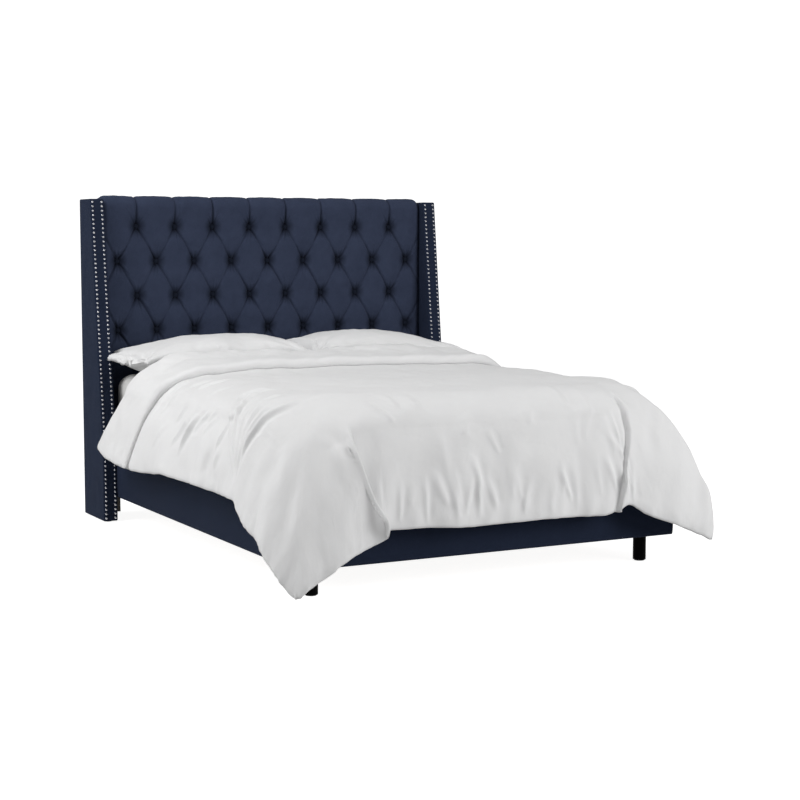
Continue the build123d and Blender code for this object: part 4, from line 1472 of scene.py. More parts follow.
@dataclass
class ClothRun:
    """One run of the cloth simulation over a grid of points."""

    frames: int
    pressure: float = 0.0
    gravity: float = 1.0
    stiffness: float = 18.0
    bending: float = 1.2
    mass: float = 0.35
    cap: float | Array = 0.05
    pinned: str = ""
    shrink: float = 0.0

    def relax(self, thing: bpy.types.Object, obstacles: list[bpy.types.Object]) -> Array:
        """Simulate a piece and return where its points end.

        Args:
            thing: the piece, whose own mesh gives the start.
            obstacles: what the cloth can't pass.

        Returns:
            The points after the run, none further than the cap from its start.
        """
        start = read_points(thing)
        for obstacle in obstacles:
            hit = obstacle.modifiers.new("Collision", "COLLISION")
            hit.settings.thickness_outer = 0.008
            hit.settings.cloth_friction = 12.0
        cloth = thing.modifiers.new("Cloth", "CLOTH")
        settings = cloth.settings
        settings.quality = 7
        settings.mass = self.mass
        settings.tension_stiffness = self.stiffness
        settings.compression_stiffness = self.stiffness
        settings.shear_stiffness = self.stiffness * 0.5
        settings.bending_stiffness = self.bending
        settings.air_damping = 3.0
        settings.effector_weights.gravity = self.gravity
        settings.shrink_min = self.shrink
        settings.vertex_group_mass = self.pinned
        if self.pressure:
            settings.use_pressure = True
            settings.uniform_pressure_force = self.pressure
        cloth.collision_settings.use_collision = bool(obstacles)
        cloth.collision_settings.distance_min = 0.006
        cloth.collision_settings.use_self_collision = False
        cloth.point_cache.frame_start = 1
        cloth.point_cache.frame_end = self.frames
        scene = bpy.context.scene
        for number in range(1, self.frames + 1):
            scene.frame_set(number)
        view = bpy.context.evaluated_depsgraph_get()
        end = read_points(thing.evaluated_get(view))
        thing.modifiers.remove(cloth)
        for obstacle in obstacles:
            obstacle.modifiers.clear()
        scene.frame_set(1)
        move = end - start
        far = np.linalg.norm(move, axis=-1, keepdims=True)
        return start + move * np.minimum(1.0, self.cap / np.maximum(far, 1e-9))


def read_points(thing: bpy.types.Object) -> Array:
    """Read a piece's mesh.

    Args:
        thing: the piece.

    Returns:
        Its points.
    """
    flat = np.empty(len(thing.data.vertices) * 3)
    thing.data.vertices.foreach_get("co", flat)
    return flat.reshape(-1, 3)


@dataclass
class Pillow:
    """Pillow: a lens with pinched corners, filled by pressure, in a case whose end stands open."""

    finishes: Finishes
    back: float
    side: Side
    inner: float = 0.008
    outer: float = 0.773
    head: float = 0.138
    front: float = 0.638
    low: float = 0.6574
    top: float = 0.815
    right_rise: float = 0.028
    seam: float = 0.712
    pinch: float = 0.022
    pull: float = 0.014
    flap_middle: float = 0.385
    flap: float = 0.052
    columns: int = 78
    rows: int = 50

    def build(self) -> None:
        """Make and dress the pillow in its case."""
        upper, lower, cloth = self.lens()
        upper, lower = self.filled(upper, lower)
        upper, lower, cloth = finer(upper, 3), finer(lower, 3), finer(cloth, 3)
        upper = upper + grid_normals(upper) * self.creases(cloth)[..., None] * self.side.value
        upper[..., 2] = np.maximum(upper[..., 2], lower[..., 2] + 0.0015)
        lower[..., 2] = np.maximum(lower[..., 2], self.low)
        thing = two_walls(f"pillow_body_{self.side.word}", upper, lower, cloth)
        body = f"pillow_{self.side.word}"
        self.finishes.fit(thing, "pillow_cotton", body, body, 0.6)

    def creases(self, cloth: Array) -> Array:
        """Creases of the case: soft waves, and folds that run in from the corners.

        The folds are a sine of the bearing from each corner, within a Gaussian ring round it.

        Args:
            cloth: places on the case.

        Returns:
            Their height at each place.
        """
        u, v = cloth[..., 0], cloth[..., 1]
        calm = 1 - 0.75 * smooth_step((u - self.outer + self.inner) / 0.02)
        height = 0.0030 * ripple(cloth, 0.22, 81 + self.side.value, 12)
        height += 0.0012 * ripple(cloth, 0.07, 82 + self.side.value, 14)
        long, wide = u.max(), v.max()
        for corner_u in (0.0, long):
            for corner_v in (0.0, wide):
                du, dv = np.abs(u - corner_u), np.abs(v - corner_v)
                distance = np.hypot(du, dv)
                bearing = np.arctan2(dv, du + 1e-9)
                fan = np.sin(bearing * 15 + corner_u * 3 + corner_v * 7)
                height += 0.0042 * fan * np.exp(-((distance - 0.09) / 0.07) ** 2)
        return height * calm

    def lens(self) -> tuple[Array, Array, Array]:
        """Both faces of the pillow before it is filled, and the places on its case.

        Each face stands off the seam by the product of two arches; the sides draw in between
        the corners, and at the outer end the arches stop short where the case runs on flat.

        Returns:
            The upper face, the lower face and the places.
        """
        wide = self.outer - self.inner
        open_end = self.side is Side.LEFT
        run = wide + (self.flap if open_end else 0.0)
        u, v = np.meshgrid(np.linspace(0, run, self.columns), np.linspace(-1, 1, self.rows))
        share = np.clip(2 * u / wide - 1, -1, 1)
        arch_u = 1 - np.abs(share) ** np.where(share > 0, 1.8, 4.0)
        arch_v = 1 - np.abs(v) ** 3.0
        dome = (arch_u * arch_v) ** 0.62
        x = self.inner + u
        pinch = self.pinch * (1 - share ** 2)
        pull = self.pull * (1 - v ** 2)
        x = np.where(u < wide / 2, x + pull * (1 - u / (wide / 2)), x - pull * (u - wide / 2) / (wide / 2))
        reach = (self.head + self.front) / 2 + v * ((self.front - self.head) / 2 - pinch)
        beyond = np.clip((u - wide) / self.flap, 0, 1)
        narrowed = self.flap_middle + (reach - self.flap_middle) * (1 - 0.30 * beyond)
        reach = np.where(beyond > 0, narrowed, reach)
        droop = -0.016 * beyond + 0.010 * beyond * np.sin(v * 7.0)
        seam = self.seam + 0.020 * np.abs(share) ** 4 + droop
        thin = 0.0035 + 0.004 * beyond
        crest = self.top + (self.right_rise if self.side is Side.RIGHT else 0.0)
        upper_z = seam + thin + (crest - self.seam - 0.004) * dome
        lower_z = seam - thin - (self.seam - self.low + 0.030) * dome
        lower_z = np.maximum(lower_z, self.low)
        side = self.side.value
        upper = np.stack((side * x, self.back - reach, upper_z), -1)
        lower = np.stack((side * x, self.back - reach, lower_z), -1)
        return upper, lower, np.stack((u, v * (self.front - self.head) / 2 + 0.25), -1)

    def filled(self, upper: Array, lower: Array) -> tuple[Array, Array]:
        """Fill the case by pressure, which crumples it, held near the start.

        Args:
            upper: the upper face's points.
            lower: the lower face's points.

        Returns:
            Both faces after the run.
        """
        rows, columns = upper.shape[:2]
        base = rows * columns
        number = np.arange(base).reshape(rows, columns)
        rim = np.zeros((rows, columns), dtype=bool)
        rim[[0, -1], :] = True
        rim[:, [0, -1]] = True
        under = np.where(rim, number, number + base)
        shape = Shape(np.vstack((upper.reshape(-1, 3), lower.reshape(-1, 3))))
        shape.faces = grid_faces(rows, columns)
        shape.faces += corner_faces(under[:-1, :-1], under[1:, :-1], under[1:, 1:], under[:-1, 1:])
        thing = shape.piece("pillow_trial")
        run = ClothRun(frames=18, pressure=2.6, gravity=0.0, bending=0.15, cap=0.013, shrink=-0.05)
        points = run.relax(thing, [])
        bpy.data.objects.remove(thing)
        top, bottom = points[:base].reshape(upper.shape), points[base:].reshape(upper.shape)
        slip = (top - upper) * rim[..., None]
        return top, np.where(rim[..., None], lower + slip, bottom)


@dataclass(frozen=True)
class Hem:
    """Where the duvet's hem hangs along one run of the bed's edge.

    Each station gives the way along the run, how far out from the rim the hem is and how high
    it is, in metres.
    """

    stations: tuple[tuple[float, float, float], ...]

    def at(self, way: Array) -> tuple[Array, Array]:
        """Hem's distance out and height at each place of the run."""
        table = np.array(self.stations)
        return curve(table[:, 0], table[:, 1], way), curve(table[:, 0], table[:, 2], way)


def curve(knots: Array, values: Array, places: Array) -> Array:
    """Smooth curve through values at uneven knots: cubic pieces with averaged slopes.

    Args:
        knots: places of the values, rising.
        values: the values.
        places: where the curve is wanted.

    Returns:
        The curve's value at each place.
    """
    slope = np.diff(values) / np.diff(knots)
    mean = 2 / (1 / (slope[1:] + 1e-12) + 1 / (slope[:-1] + 1e-12))
    middle = np.where(slope[1:] * slope[:-1] > 0, mean, 0)
    tangent = np.concatenate((slope[:1], middle, slope[-1:]))
    held = np.clip(places, knots[0], knots[-1])
    k = np.clip(np.searchsorted(knots, held, side="right") - 1, 0, len(knots) - 2)
    width = knots[k + 1] - knots[k]
    t = (held - knots[k]) / width
    rise = t * t * (3 - 2 * t)
    return (values[k] * (1 - rise) + values[k + 1] * rise
            + width * (t * (1 - t) ** 2 * tangent[k] - t * t * (1 - t) * tangent[k + 1]))


@dataclass(frozen=True)
class Crease:
    """One soft ridge on the duvet's hanging part, with a hollow along it.

    It starts from a root on the flat cloth (how far down, and where along the run), climbs in
    a bearing turned towards the foot or the right, and its height is a Gaussian across it
    less a wider one beside it, faded at both ends. Side 0 is the foot.
    """

    side: int
    root_down: float
    root_along: float
    bearing: float
    start: float
    length: float
    rise: float
    width: float

    def height(self, a: Array, b: Array, inner_half: float, line: float) -> Array:
        """Height of the ridge.

        Args:
            a: flat place across.
            b: flat place from the head fold.
            inner_half: half width of the part that lies flat.
            line: length of the part that lies flat.

        Returns:
            The height at each place, in metres.
        """
        if self.side:
            up = self.root_down - (np.abs(a) - inner_half)
            aside = b - self.root_along
            here = (a * self.side > 0) * smooth_step((0.36 - (b - line)) / 0.2)
        else:
            up = self.root_down - (b - line)
            aside = a - self.root_along
            here = (b > line) * smooth_step((inner_half + 0.12 - np.abs(a)) / 0.1)
        along = up * math.cos(self.bearing) + aside * math.sin(self.bearing)
        across = aside * math.cos(self.bearing) - up * math.sin(self.bearing)
        across = across + 0.010 * np.sin(along * 11.0 + self.root_along * 20.0)
        share = (along - self.start) / self.length
        fade = smooth_step(share / 0.22) * smooth_step((1 - share) / 0.5) * here
        width = self.width * (0.7 + 0.9 * np.clip(share, 0, 1))
        hollow = np.exp(-((across - 1.6 * width) / (1.3 * width)) ** 2)
        return self.rise * fade * (np.exp(-(across / width) ** 2) - 0.55 * hollow)


@dataclass
class Duvet:
    """Duvet laid over the bed, its head turned back in a band.

    Flat places (a across, b from the head fold towards the foot) are bent over the bed in
    slices: a place beyond the inner rectangle lies on the slice that leaves the rectangle in
    its direction. Each slice is level, then a Bezier curve over the mattress's shoulder to
    the hem. The cloth simulation lets the hanging part crumple, folds are laid over it, and
    the lower face lies inside by the filling's thickness.
    """

    finishes: Finishes
    back: float
    head_reach: float = 0.672
    inner_half: float = 0.50
    inner_foot: float = 1.889
    rim: float = 0.10
    shoulder: float = 0.252
    side_cloth: float = 0.71
    foot_cloth: float = 0.753
    height: float = 0.6998
    crown: float = 0.009
    step: float = 0.0165
    band: float = 0.285
    thickness: float = 0.043
    hem_thickness: float = 0.017
    skew: float = 0.27
    left_hem: Hem = Hem((
        (0.0, 0.335, 0.347), (0.12, 0.335, 0.316), (0.295, 0.34, 0.304), (0.45, 0.33, 0.314),
        (0.593, 0.345, 0.335), (0.737, 0.328, 0.329), (0.881, 0.345, 0.338), (1.053, 0.326, 0.328),
        (1.217, 0.340, 0.330), (1.33, 0.360, 0.262), (1.42, 0.390, 0.225), (1.53, 0.442, 0.140),
        (1.6245, 0.476, 0.030),
    ))
    right_hem: Hem = Hem((
        (0.0, 0.335, 0.345), (0.12, 0.335, 0.300), (0.295, 0.34, 0.276), (0.467, 0.33, 0.274),
        (0.625, 0.343, 0.284), (0.793, 0.326, 0.272), (1.006, 0.345, 0.281), (1.217, 0.340, 0.270),
        (1.37, 0.395, 0.235), (1.51, 0.465, 0.160), (1.6245, 0.505, 0.090),
    ))
    foot_hem: Hem = Hem((
        (-0.878, 0.476, 0.030), (-0.78, 0.440, 0.110), (-0.68, 0.395, 0.172), (-0.58, 0.345, 0.205),
        (-0.47, 0.312, 0.243),
        (-0.36, 0.312, 0.242), (-0.20, 0.324, 0.233), (-0.02, 0.312, 0.232), (0.15, 0.324, 0.237),
        (0.31, 0.312, 0.231), (0.40, 0.320, 0.228), (0.465, 0.318, 0.238), (0.52, 0.325, 0.262),
        (0.60, 0.350, 0.222), (0.68, 0.385, 0.190), (0.878, 0.505, 0.090),
    ))
    # Shares of the hem's distance at a corner slice's two middle points, and the second's height.
    left_corner: tuple[float, float, float] = (0.52, 0.82, 0.50)
    right_corner: tuple[float, float, float] = (0.48, 0.96, 0.44)
    left_lean: float = 2.2
    right_lean: float = -1.1
    corner_way: float = 0.5
    bend_height: float = 0.592
    tip_reach: float = 0.035
    tip_share: float = 0.008
    # Side, strength, lean and top of each lapped crease.
    lapped: tuple[tuple[int, float, float, float], ...] = ((-1, 1.25, 0.030, 0.37), (1, 0.50, -0.060, 0.24))
    # Side of each fan of creases, and its root's place along the run.
    fan_roots: tuple[tuple[int, float], ...] = ((-1, 1.205), (1, 1.23))
    fan_bearings: tuple[float, ...] = (-0.60, -0.47, -0.35, -0.24, -0.14, -0.03, 0.08, 0.22)
    # Half width, near and far reach, low and top, edge and corner radius of each stop.
    stops: tuple[tuple[float, ...], ...] = (
        (0.745, 0.135, 2.135, 0.20, 0.640, 0.06, 0.14), (0.806, 0.25, 2.196, 0.107, 0.362, 0.01, 0.01),
    )
    blunt: float = 0.030
    least_puff: float = 0.16
    band_loft: float = 0.038
    head_loft: float = 0.026
    side_loss: float = 0.018
    band_blunt: float = 0.028
    least_band_puff: float = 0.14
    band_lift: float = 0.0008

    @property
    def line(self) -> float:
        """Flat distance from the head fold to the inner rectangle's foot edge."""
        return self.inner_foot - self.head_reach

    def flat(self) -> Array:
        """Places on the flat cloth, a grid of (a, b)."""
        half = self.inner_half + self.side_cloth
        length = self.line + self.foot_cloth
        a = np.linspace(-half, half, int(2 * half / self.step) + 1)
        b = np.linspace(0, length, int(length / self.step) + 1)
        return np.stack(np.meshgrid(a, b), -1)

    def hem_at(self, a: Array, b: Array, turn: Array) -> tuple[Array, Array]:
        """Where the hem of each flat place's slice hangs.

        Args:
            a: flat place across.
            b: flat place from the head fold.
            turn: direction of the slice, from 0 at the sides to a quarter turn at the foot.

        Returns:
            The hem's distance out from the rim, and its height.
        """
        way_side = np.minimum(b, self.line) + turn * self.corner_way
        across = np.minimum(np.abs(a), self.inner_half)
        way_foot = np.sign(a) * (across + (np.pi / 2 - turn) * self.corner_way)
        left = self.left_hem.at(way_side)
        right = self.right_hem.at(way_side)
        foot = self.foot_hem.at(way_foot)
        on_foot = turn > math.atan2(self.foot_cloth, self.side_cloth)
        out, low = (np.where(on_foot, f, np.where(a < 0, l, r)) for l, r, f in zip(left, right, foot))
        return out, low

    def share_down(self, p: Array, q: Array, turn: Array) -> Array:
        """Share of its slice that each flat place has gone, from 0 at the rim to 1 at the hem.

        Args:
            p: how far the place lies beyond the inner rectangle's side.
            q: how far it lies beyond its foot edge.
            turn: direction of its slice.

        Returns:
            The share, a little less at the two tips so that they stay blunt.
        """
        edge = np.minimum(self.side_cloth / np.maximum(np.cos(turn), 1e-9),
                          self.foot_cloth / np.maximum(np.sin(turn), 1e-9))
        share = np.clip((np.hypot(p, q) - self.rim) / (edge - self.rim), 0, 1)
        tip = ((self.side_cloth - p) ** 2 + (self.foot_cloth - q) ** 2) / self.tip_reach ** 2
        return share - self.tip_share * np.exp(-tip)

    def draped(self, places: Array) -> Array:
        """Bend the flat places over the bed.

        Args:
            places: grid of (a, b).

        Returns:
            Grid of points of the duvet's upper face.
        """
        a, b = places[..., 0], places[..., 1]
        p = np.maximum(np.abs(a) - self.inner_half, 0)
        q = np.maximum(b - self.line, 0)
        far = np.hypot(p, q)
        flat_turn = np.arctan2(q, p + 1e-12) * (far > 0)
        lean = np.radians(np.where(a < 0, self.left_lean, self.right_lean))
        turn = flat_turn + lean * np.sin(2 * flat_turn)
        out, low = self.hem_at(a, b, flat_turn)
        corner = np.sin(2 * flat_turn) ** 1.5
        near_share, mid_share, mid_height = (np.where(a < 0, left, right) for left, right in zip(
            self.left_corner, self.right_corner))
        near = self.shoulder * 0.90 * (1 - corner) + near_share * out * corner
        mid = (self.shoulder + 0.010) * (1 - corner) + mid_share * out * corner
        top = self.height + 0 * out
        level = np.stack((0 * out, near, mid, out), -1)
        climb = np.stack((top, top + 0.002, self.bend_height * (1 - corner) + mid_height * corner, low), -1)
        s = self.share_down(p, q, flat_turn)[..., None]
        weights = np.concatenate(((1 - s) ** 3, 3 * s * (1 - s) ** 2, 3 * s * s * (1 - s), s ** 3), -1)
        reach_out = np.minimum(far, self.rim) + (level * weights).sum(-1)
        x = np.sign(a) * (np.minimum(np.abs(a), self.inner_half) + reach_out * np.cos(turn))
        reach = self.head_reach + np.minimum(b, self.line) + reach_out * np.sin(turn)
        sweep = np.clip((p - 0.18) / 0.52, 0, 1) ** 1.35 * np.exp(-(b / 0.47) ** 2)
        middle = smooth_step((self.inner_half + 0.12 - np.abs(a)) / 0.3)
        middle = middle * smooth_step((self.line + 0.12 - b) / 0.3)
        height = (climb * weights).sum(-1) + self.crown * middle
        return np.stack((x, self.back - (reach - self.skew * sweep), height), -1)

    def folds(self, places: Array) -> Array:
        """Height of the folds on the hung cloth, in metres along its normal.

        Creases follow curves from the foot corners' tops down to the hem: the corner's cloth
        stands proud beside each and the foot's lies in a valley. Soft folds spread from the
        side hem near the foot corners, short pleats rise from the foot's hem, and the whole
        swells in broad waves.

        Args:
            places: grid of (a, b).

        Returns:
            The height at each place.
        """
        a, b = places[..., 0], places[..., 1]
        p = np.abs(a) - self.inner_half
        q = b - self.line
        hang = smooth_step((np.maximum(p, q) - 0.12) / 0.45)
        height = 0.0050 * ripple(places, 0.42, 61, 12) * (1 - 0.3 * hang)
        height += 0.0018 * ripple(places, 0.15, 62, 14)
        height += 0.0070 * hang * ripple(np.stack((a + 0.35 * b, b - 0.35 * a), -1), 0.26, 63, 12)
        height += self.corner_creases(a, p, q)
        for line in self.fan_lines():
            height += line.height(a, b, self.inner_half, self.line)
        rough = 0.55 + 0.45 * ripple(places, 0.5, 64, 8)
        foot = smooth_step((q - self.foot_cloth + 0.24) / 0.24) * (p < 0.02)
        height += 0.0068 * foot * rough * ripple(np.stack((a + 0.2 * q, 0.22 * q), -1), 0.085, 66, 16)
        side_hem = smooth_step((p - self.side_cloth + 0.22) / 0.22) * smooth_step((0.08 - q) / 0.1)
        height += 0.0052 * side_hem * rough * ripple(np.stack((0.22 * p, b - 0.2 * p), -1), 0.095, 67, 16)
        rim = np.minimum(self.side_cloth - p, self.foot_cloth - q)
        height += 0.0016 * np.exp(-rim / 0.04) * ripple(places, 0.06, 68, 18)
        return height

    def corner_creases(self, a: Array, p: Array, q: Array) -> Array:
        """Height of the lapped creases beside both foot corners, each ending in a curled nub.

        A crease is a lip that falls off exponentially on the corner's side and a valley on
        the foot's side, with a thin groove between and a softer Gaussian fold further in.

        Args:
            a: flat place across.
            p: how far beyond the inner rectangle's side.
            q: how far beyond its foot edge.

        Returns:
            The height at each place.
        """
        height = np.zeros(a.shape)
        for side, strength, lean, top in self.lapped:
            on_side = a * side > 0
            here = on_side * smooth_step((q - top) / 0.14)
            crease = 0.128 - 0.62 * np.maximum(q - 0.50, 0) ** 1.3 + lean
            crease = crease - 0.25 * (0.5 - np.minimum(q, 0.5)) ** 1.5 * strength
            e = p - crease
            lip = 0.030 * np.exp(-np.maximum(e, 0) / 0.046) * smooth_step((e + 0.006) / 0.013)
            valley = 0.019 * np.exp(-np.maximum(-e, 0) / 0.05) * smooth_step((0.007 - e) / 0.013)
            inward = p - (0.25 + 0.4 * np.maximum(0.45 - q, 0))
            soft = 0.012 * (np.exp(-(inward / 0.028) ** 2) - 0.5 * np.exp(-((inward + 0.05) / 0.04) ** 2))
            height += here * strength * (lip - valley + soft * smooth_step((0.62 - q) / 0.25))
            height -= here * 0.007 * np.exp(-(e / 0.007) ** 2)
            nub = np.hypot(e - 0.014, (self.foot_cloth - 0.040 - q) * 0.75)
            height += on_side * strength * 0.022 * np.exp(-(nub / 0.026) ** 2)
        return height

    def fan_lines(self) -> list[Crease]:
        """Creases that spread up from the side hem beside each foot corner, and loose ones.

        Returns:
            The creases, loose ones at seeded places.
        """
        lines = []
        generator = np.random.default_rng(17)
        for side, root in self.fan_roots:
            for k, bearing in enumerate(self.fan_bearings):
                start = 0.03 + 0.05 * (k % 3)
                length = 0.45 + 0.10 * math.sin(k * 2.1)
                lines.append(Crease(side, self.side_cloth - 0.012, root, bearing, start, length,
                                    0.0095 + 0.003 * (k % 2), 0.009 + 0.003 * (k % 3)))
            for k in range(24):
                lines.append(Crease(side, generator.uniform(0.32, 0.70), generator.uniform(0.32, 1.02),
                                    generator.uniform(-0.1, 0.75), 0.0, generator.uniform(0.10, 0.26),
                                    generator.uniform(0.003, 0.0075), generator.uniform(0.009, 0.018)))
        for k in range(46):
            low = k < 30
            root = self.foot_cloth - generator.uniform(0.0, 0.05) if low else generator.uniform(0.35, 0.7)
            lines.append(Crease(0, root, generator.uniform(-0.56, 0.56), generator.uniform(-0.5, 0.35), 0.0,
                                generator.uniform(0.08, 0.17) if low else generator.uniform(0.12, 0.3),
                                generator.uniform(0.003, 0.0080) if low else generator.uniform(0.003, 0.006),
                                generator.uniform(0.009, 0.019)))
        return lines

    @staticmethod
    def steady(normal: Array, patch: int = 6) -> Array:
        """Give each tip of the cloth, where the slices meet, its neighbour's normal.

        Args:
            normal: grid of directions.
            patch: how many rows and columns make a tip.

        Returns:
            The steadied directions.
        """
        held = normal.copy()
        held[-patch:, :patch] = normal[-patch - 1, patch]
        held[-patch:, -patch:] = normal[-patch - 1, -patch - 1]
        return held

    def obstacles(self) -> list[bpy.types.Object]:
        """Plain bodies that the hanging cloth can't pass: the mattress and the frame.

        Returns:
            The bodies, to be removed after the run.
        """
        made = []
        for number, (half, near, far, low, top, edge, corner) in enumerate(self.stops):
            inset, climb = rounded_edge(low, top, edge, edge, 5, 0)
            ring = rounded_ring(half - inset, (far - near) / 2 - inset, corner, 5, 18)
            y = self.back - (near + far) / 2 + ring[..., 1]
            z = np.repeat(climb[:, None], ring.shape[1], 1)
            made.append(ring_form(np.stack((ring[..., 0], y, z), -1)).piece(f"stop_{number}", weld=WELD))
        return made

    def hung(self) -> tuple[Array, Array]:
        """Let the draped cloth's hanging part crumple.

        Returns:
            The duvet's upper face, and its flat places.
        """
        places = self.flat()
        grid = self.draped(places)
        shape = Shape(grid.reshape(-1, 3), grid_faces(*grid.shape[:2]), places.reshape(-1, 2))
        thing = shape.piece("duvet_trial")
        over = np.maximum(np.abs(places[..., 0]) - self.inner_half, places[..., 1] - self.line).ravel()
        group = thing.vertex_groups.new(name="laid")
        for number, weight in enumerate((1 - smooth_step((over - 0.18) / 0.45)).tolist()):
            if weight > 0:
                group.add([number], weight, "REPLACE")
        stops = self.obstacles()
        cap = 0.012 * smooth_step((over - 0.15) / 0.55)[:, None]
        run = ClothRun(frames=16, cap=cap, bending=0.6, stiffness=9.0, pinned="laid")
        points = run.relax(thing, stops)
        for other in [thing, *stops]:
            bpy.data.objects.remove(other)
        return points.reshape(grid.shape), places

    def build(self) -> None:
        """Make and dress the duvet and its turned-back band."""
        grid, places = self.hung()
        grid, places = finer(grid, 3), finer(places, 3)
        grid = grid + self.steady(grid_normals(grid)) * self.folds(places)[..., None]
        normal = self.steady(grid_normals(grid))
        a, b = places[..., 0], places[..., 1]
        half, length = np.abs(a).max(), b.max()
        over = np.maximum(np.abs(a) - self.inner_half, b - self.line)
        thick = self.thickness + (self.hem_thickness - self.thickness) * smooth_step((over - 0.15) / 0.5)
        rim = np.minimum(half - np.abs(a), length - b)
        puff = np.maximum(quarter_round(rim / self.blunt), self.least_puff)
        sink = 0.5 * thick * (1 - puff)
        outer = grid - normal * sink[..., None]
        inner = grid - normal * (thick - sink)[..., None]
        thing = two_walls("duvet_body", outer, inner, places)
        self.finishes.fit(thing, "duvet_cotton", "duvet", "duvet", 0.35)
        self.build_band(grid, normal, places, thick)

    def build_band(self, grid: Array, normal: Array, places: Array, below: Array) -> None:
        """Turned-back head: a second layer on the duvet, rolled round its head edge.

        Its height is a Gaussian of the distance from the head edge over an even loft, less
        towards the sides, and its rims are blunted by a quarter circle.

        Args:
            grid: the duvet's upper face.
            normal: its directions.
            places: its flat places.
            below: the duvet's thickness there.
        """
        rows = places[:, 0, 1] <= self.band
        base, out, cloth = grid[rows], normal[rows], places[rows]
        half_width = np.abs(cloth[..., 0]).max()
        side = smooth_step((np.abs(cloth[..., 0]) - self.inner_half - 0.15) / 0.45)
        rim_side = half_width - np.abs(cloth[..., 0])
        rim_foot = self.band - cloth[..., 1]
        puff_side = quarter_round(rim_side / self.band_blunt)
        puff = np.maximum(np.minimum(puff_side, quarter_round(rim_foot / self.blunt)), self.least_band_puff)
        loft = 1 + 0.10 * ripple(cloth, 0.24, 71) + 0.05 * ripple(cloth, 0.08, 72)
        head = np.exp(-(cloth[..., 1] / 0.11) ** 2) * (1 - side)
        full = (self.band_loft + self.head_loft * head - self.side_loss * side) * loft
        thick = full * puff
        lift = self.band_lift + 0.5 * (full - thick) * (rim_side < rim_foot)
        outer = base + out * (lift + thick)[..., None]
        inner = base + out * lift[..., None]
        turn = np.linspace(0, np.pi, 17)[1:]
        headward = base[0] - base[1]
        headward /= np.linalg.norm(headward, axis=-1, keepdims=True)
        top, bottom = (lift + thick)[0], -below[0] * np.maximum(puff_side[0], 0.5)
        centre = base[0] + out[0] * (0.5 * (top + bottom))[:, None]
        radius = 0.5 * (top - bottom)
        depth = np.minimum(0.020, radius * 0.6)
        small = radius * 0.45
        rolls = []
        for size, ahead in ((radius, depth), (small, depth * 0.4)):
            ring = [centre + out[0] * (size * math.cos(t))[:, None]
                    + headward * (ahead * math.sin(t))[:, None] for t in turn]
            rolls.append(np.stack(ring)[::-1])
        outer = np.concatenate((rolls[0], outer))
        inner = np.concatenate((rolls[1], inner))
        ahead = np.linspace(-0.08, 0, len(turn) + 1)[:-1]
        extra = np.stack([np.stack((cloth[0, :, 0], np.full(cloth.shape[1], value)), -1) for value in ahead])
        thing = two_walls("duvet_turned_band", outer, inner, np.concatenate((extra, cloth)))
        self.finishes.fit(thing, "duvet_cotton", "duvet", None, 0.35)


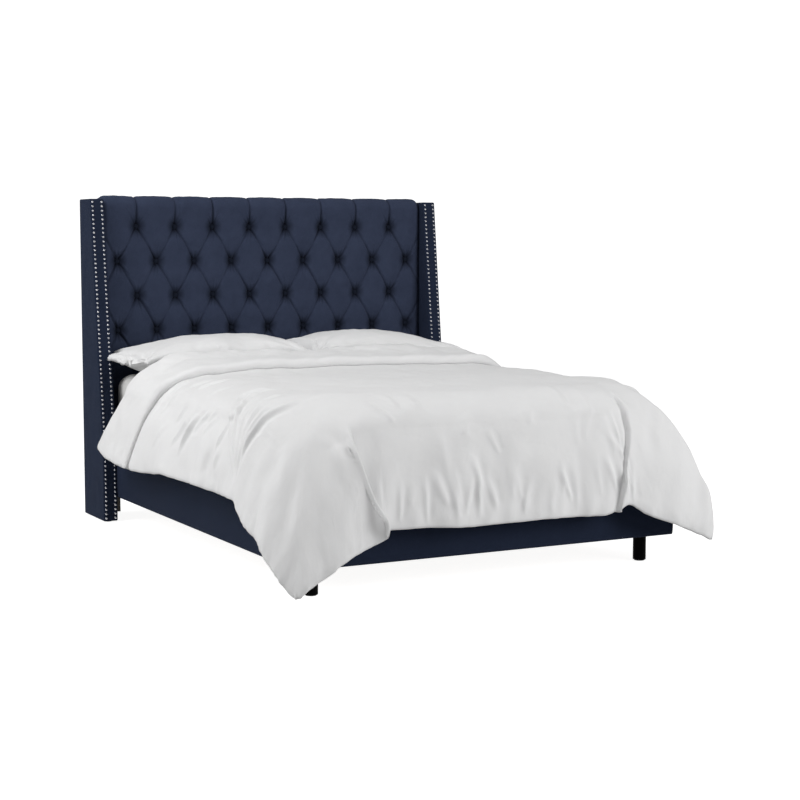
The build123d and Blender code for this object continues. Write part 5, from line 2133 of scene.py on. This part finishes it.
@dataclass
class Studio:
    """Floor, backdrop, lamps and the camera at the photograph's place."""

    back: float
    camera_place: tuple[float, float, float] = (-3.2079, -7.4820, 1.2555)
    yaw: float = 0.4877
    pitch: float = 0.0948
    focal_pixels: float = 1704.47
    image_pixels: float = 800.0
    sensor: float = 36.0
    floor_tone: float = 0.52
    floor_glow: float = 0.92
    sky: float = 0.30

    def build(self) -> None:
        """Set up the studio."""
        self.add_camera()
        self.add_floor()
        self.add_lamps()
        bpy.context.scene.view_settings.view_transform = "Standard"

    def add_camera(self) -> None:
        """Camera where the photographer stood."""
        data = bpy.data.cameras.new("photo_camera")
        data.sensor_width = self.sensor
        data.lens = self.focal_pixels * self.sensor / self.image_pixels
        data.clip_start = 0.1
        data.clip_end = 100.0
        camera = bpy.data.objects.new("photo_camera", data)
        bpy.context.scene.collection.objects.link(camera)
        x, y, z = self.camera_place
        camera.location = (x, y + self.back, z)
        camera.rotation_euler = (math.pi / 2 - self.pitch, 0.0, -self.yaw)
        bpy.context.scene.camera = camera

    def add_floor(self) -> None:
        """Pale floor that curves up into a backdrop, white to the camera where nothing shades it."""
        turn = np.linspace(0, np.pi / 2, 16)
        radius, far, tall = 3.0, 9.0, 9.0
        reach = np.concatenate(([-14.0], far - radius + radius * np.sin(turn), [far]))
        height = np.concatenate(([0.0], radius * (1 - np.cos(turn)), [tall]))
        across = np.linspace(-16, 16, 9)
        x, y = np.meshgrid(across, reach)
        z = np.repeat(height[:, None], len(across), 1)
        floor = Shape(np.stack((x, y, z - 0.0005), -1).reshape(-1, 3), grid_faces(*x.shape)).piece("floor")
        board = Board("studio_floor")
        seen = board.node("ShaderNodeLightPath")
        camera, glossy, through = (Wire(board, seen.outputs[name])
                                   for name in ("Is Camera Ray", "Is Glossy Ray", "Is Transmission Ray"))
        share = camera.math("MAXIMUM", camera.math("MAXIMUM", camera, glossy), through)
        diffuse = board.out("ShaderNodeBsdfDiffuse", None, {"Color": (*[self.floor_tone] * 3, 1.0)})
        glow = board.out("ShaderNodeEmission", None, {"Strength": share * self.floor_glow})
        floor.data.materials.append(board.surface("ShaderNodeAddShader", {0: diffuse, 1: glow}))

    def add_lamps(self) -> None:
        """Soft boxes at the upper left and the front right, and an even sky."""
        lamps = (
            ("side", (-4.8, 0.5, 3.0), (0.0, -0.2, 0.4), 2.6, 95.0),
            ("key", (-3.4, 0.1, 4.4), (0.0, -0.2, 0.4), 2.6, 90.0),
            ("fill", (3.8, -6.0, 3.2), (0.0, 0.0, 0.6), 3.4, 285.0),
        )
        for name, place, aim, size, power in lamps:
            data = bpy.data.lights.new(name, "AREA")
            data.shape = "SQUARE"
            data.size = size
            data.energy = power
            lamp = bpy.data.objects.new(name, data)
            bpy.context.scene.collection.objects.link(lamp)
            lamp.location = place
            direction = np.array(aim) - np.array(place)
            flat = math.hypot(direction[0], direction[1])
            lamp.rotation_euler = (math.atan2(flat, -direction[2]), 0.0,
                                   math.atan2(direction[1], direction[0]) - math.pi / 2)
        world = bpy.data.worlds.new("studio")
        world.use_nodes = True
        shade = world.node_tree.nodes["Background"]
        shade.inputs["Color"].default_value = (1.0, 1.0, 1.0, 1.0)
        shade.inputs["Strength"].default_value = self.sky
        bpy.context.scene.world = world


def main() -> None:
    """Build every sub-assembly in order and report each."""
    logging.basicConfig(level=logging.INFO, format="%(name)s: %(message)s")
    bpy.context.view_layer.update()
    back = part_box("wing_cover_left")[1].y
    finishes = Finishes()
    finishes.build()
    Studio(back).build()
    Headboard(finishes, back).build()
    for side in Side:
        Wing(finishes, back, side).build()
    BackCloth(finishes, back).build()
    rail = Rail(finishes, back)
    for side in Side:
        rail.side_cover(side, 0.040, 2.157)
    rail.foot_cover(2.157, 2.190, 2.182)
    Mattress(finishes, MattressForm(back)).build()
    for side in Side:
        Pillow(finishes, back, side).build()
    Duvet(finishes, back).build()
    CarriedNodes(finishes).dress()
    log.info("done")


if __name__ == "__main__":
    main()
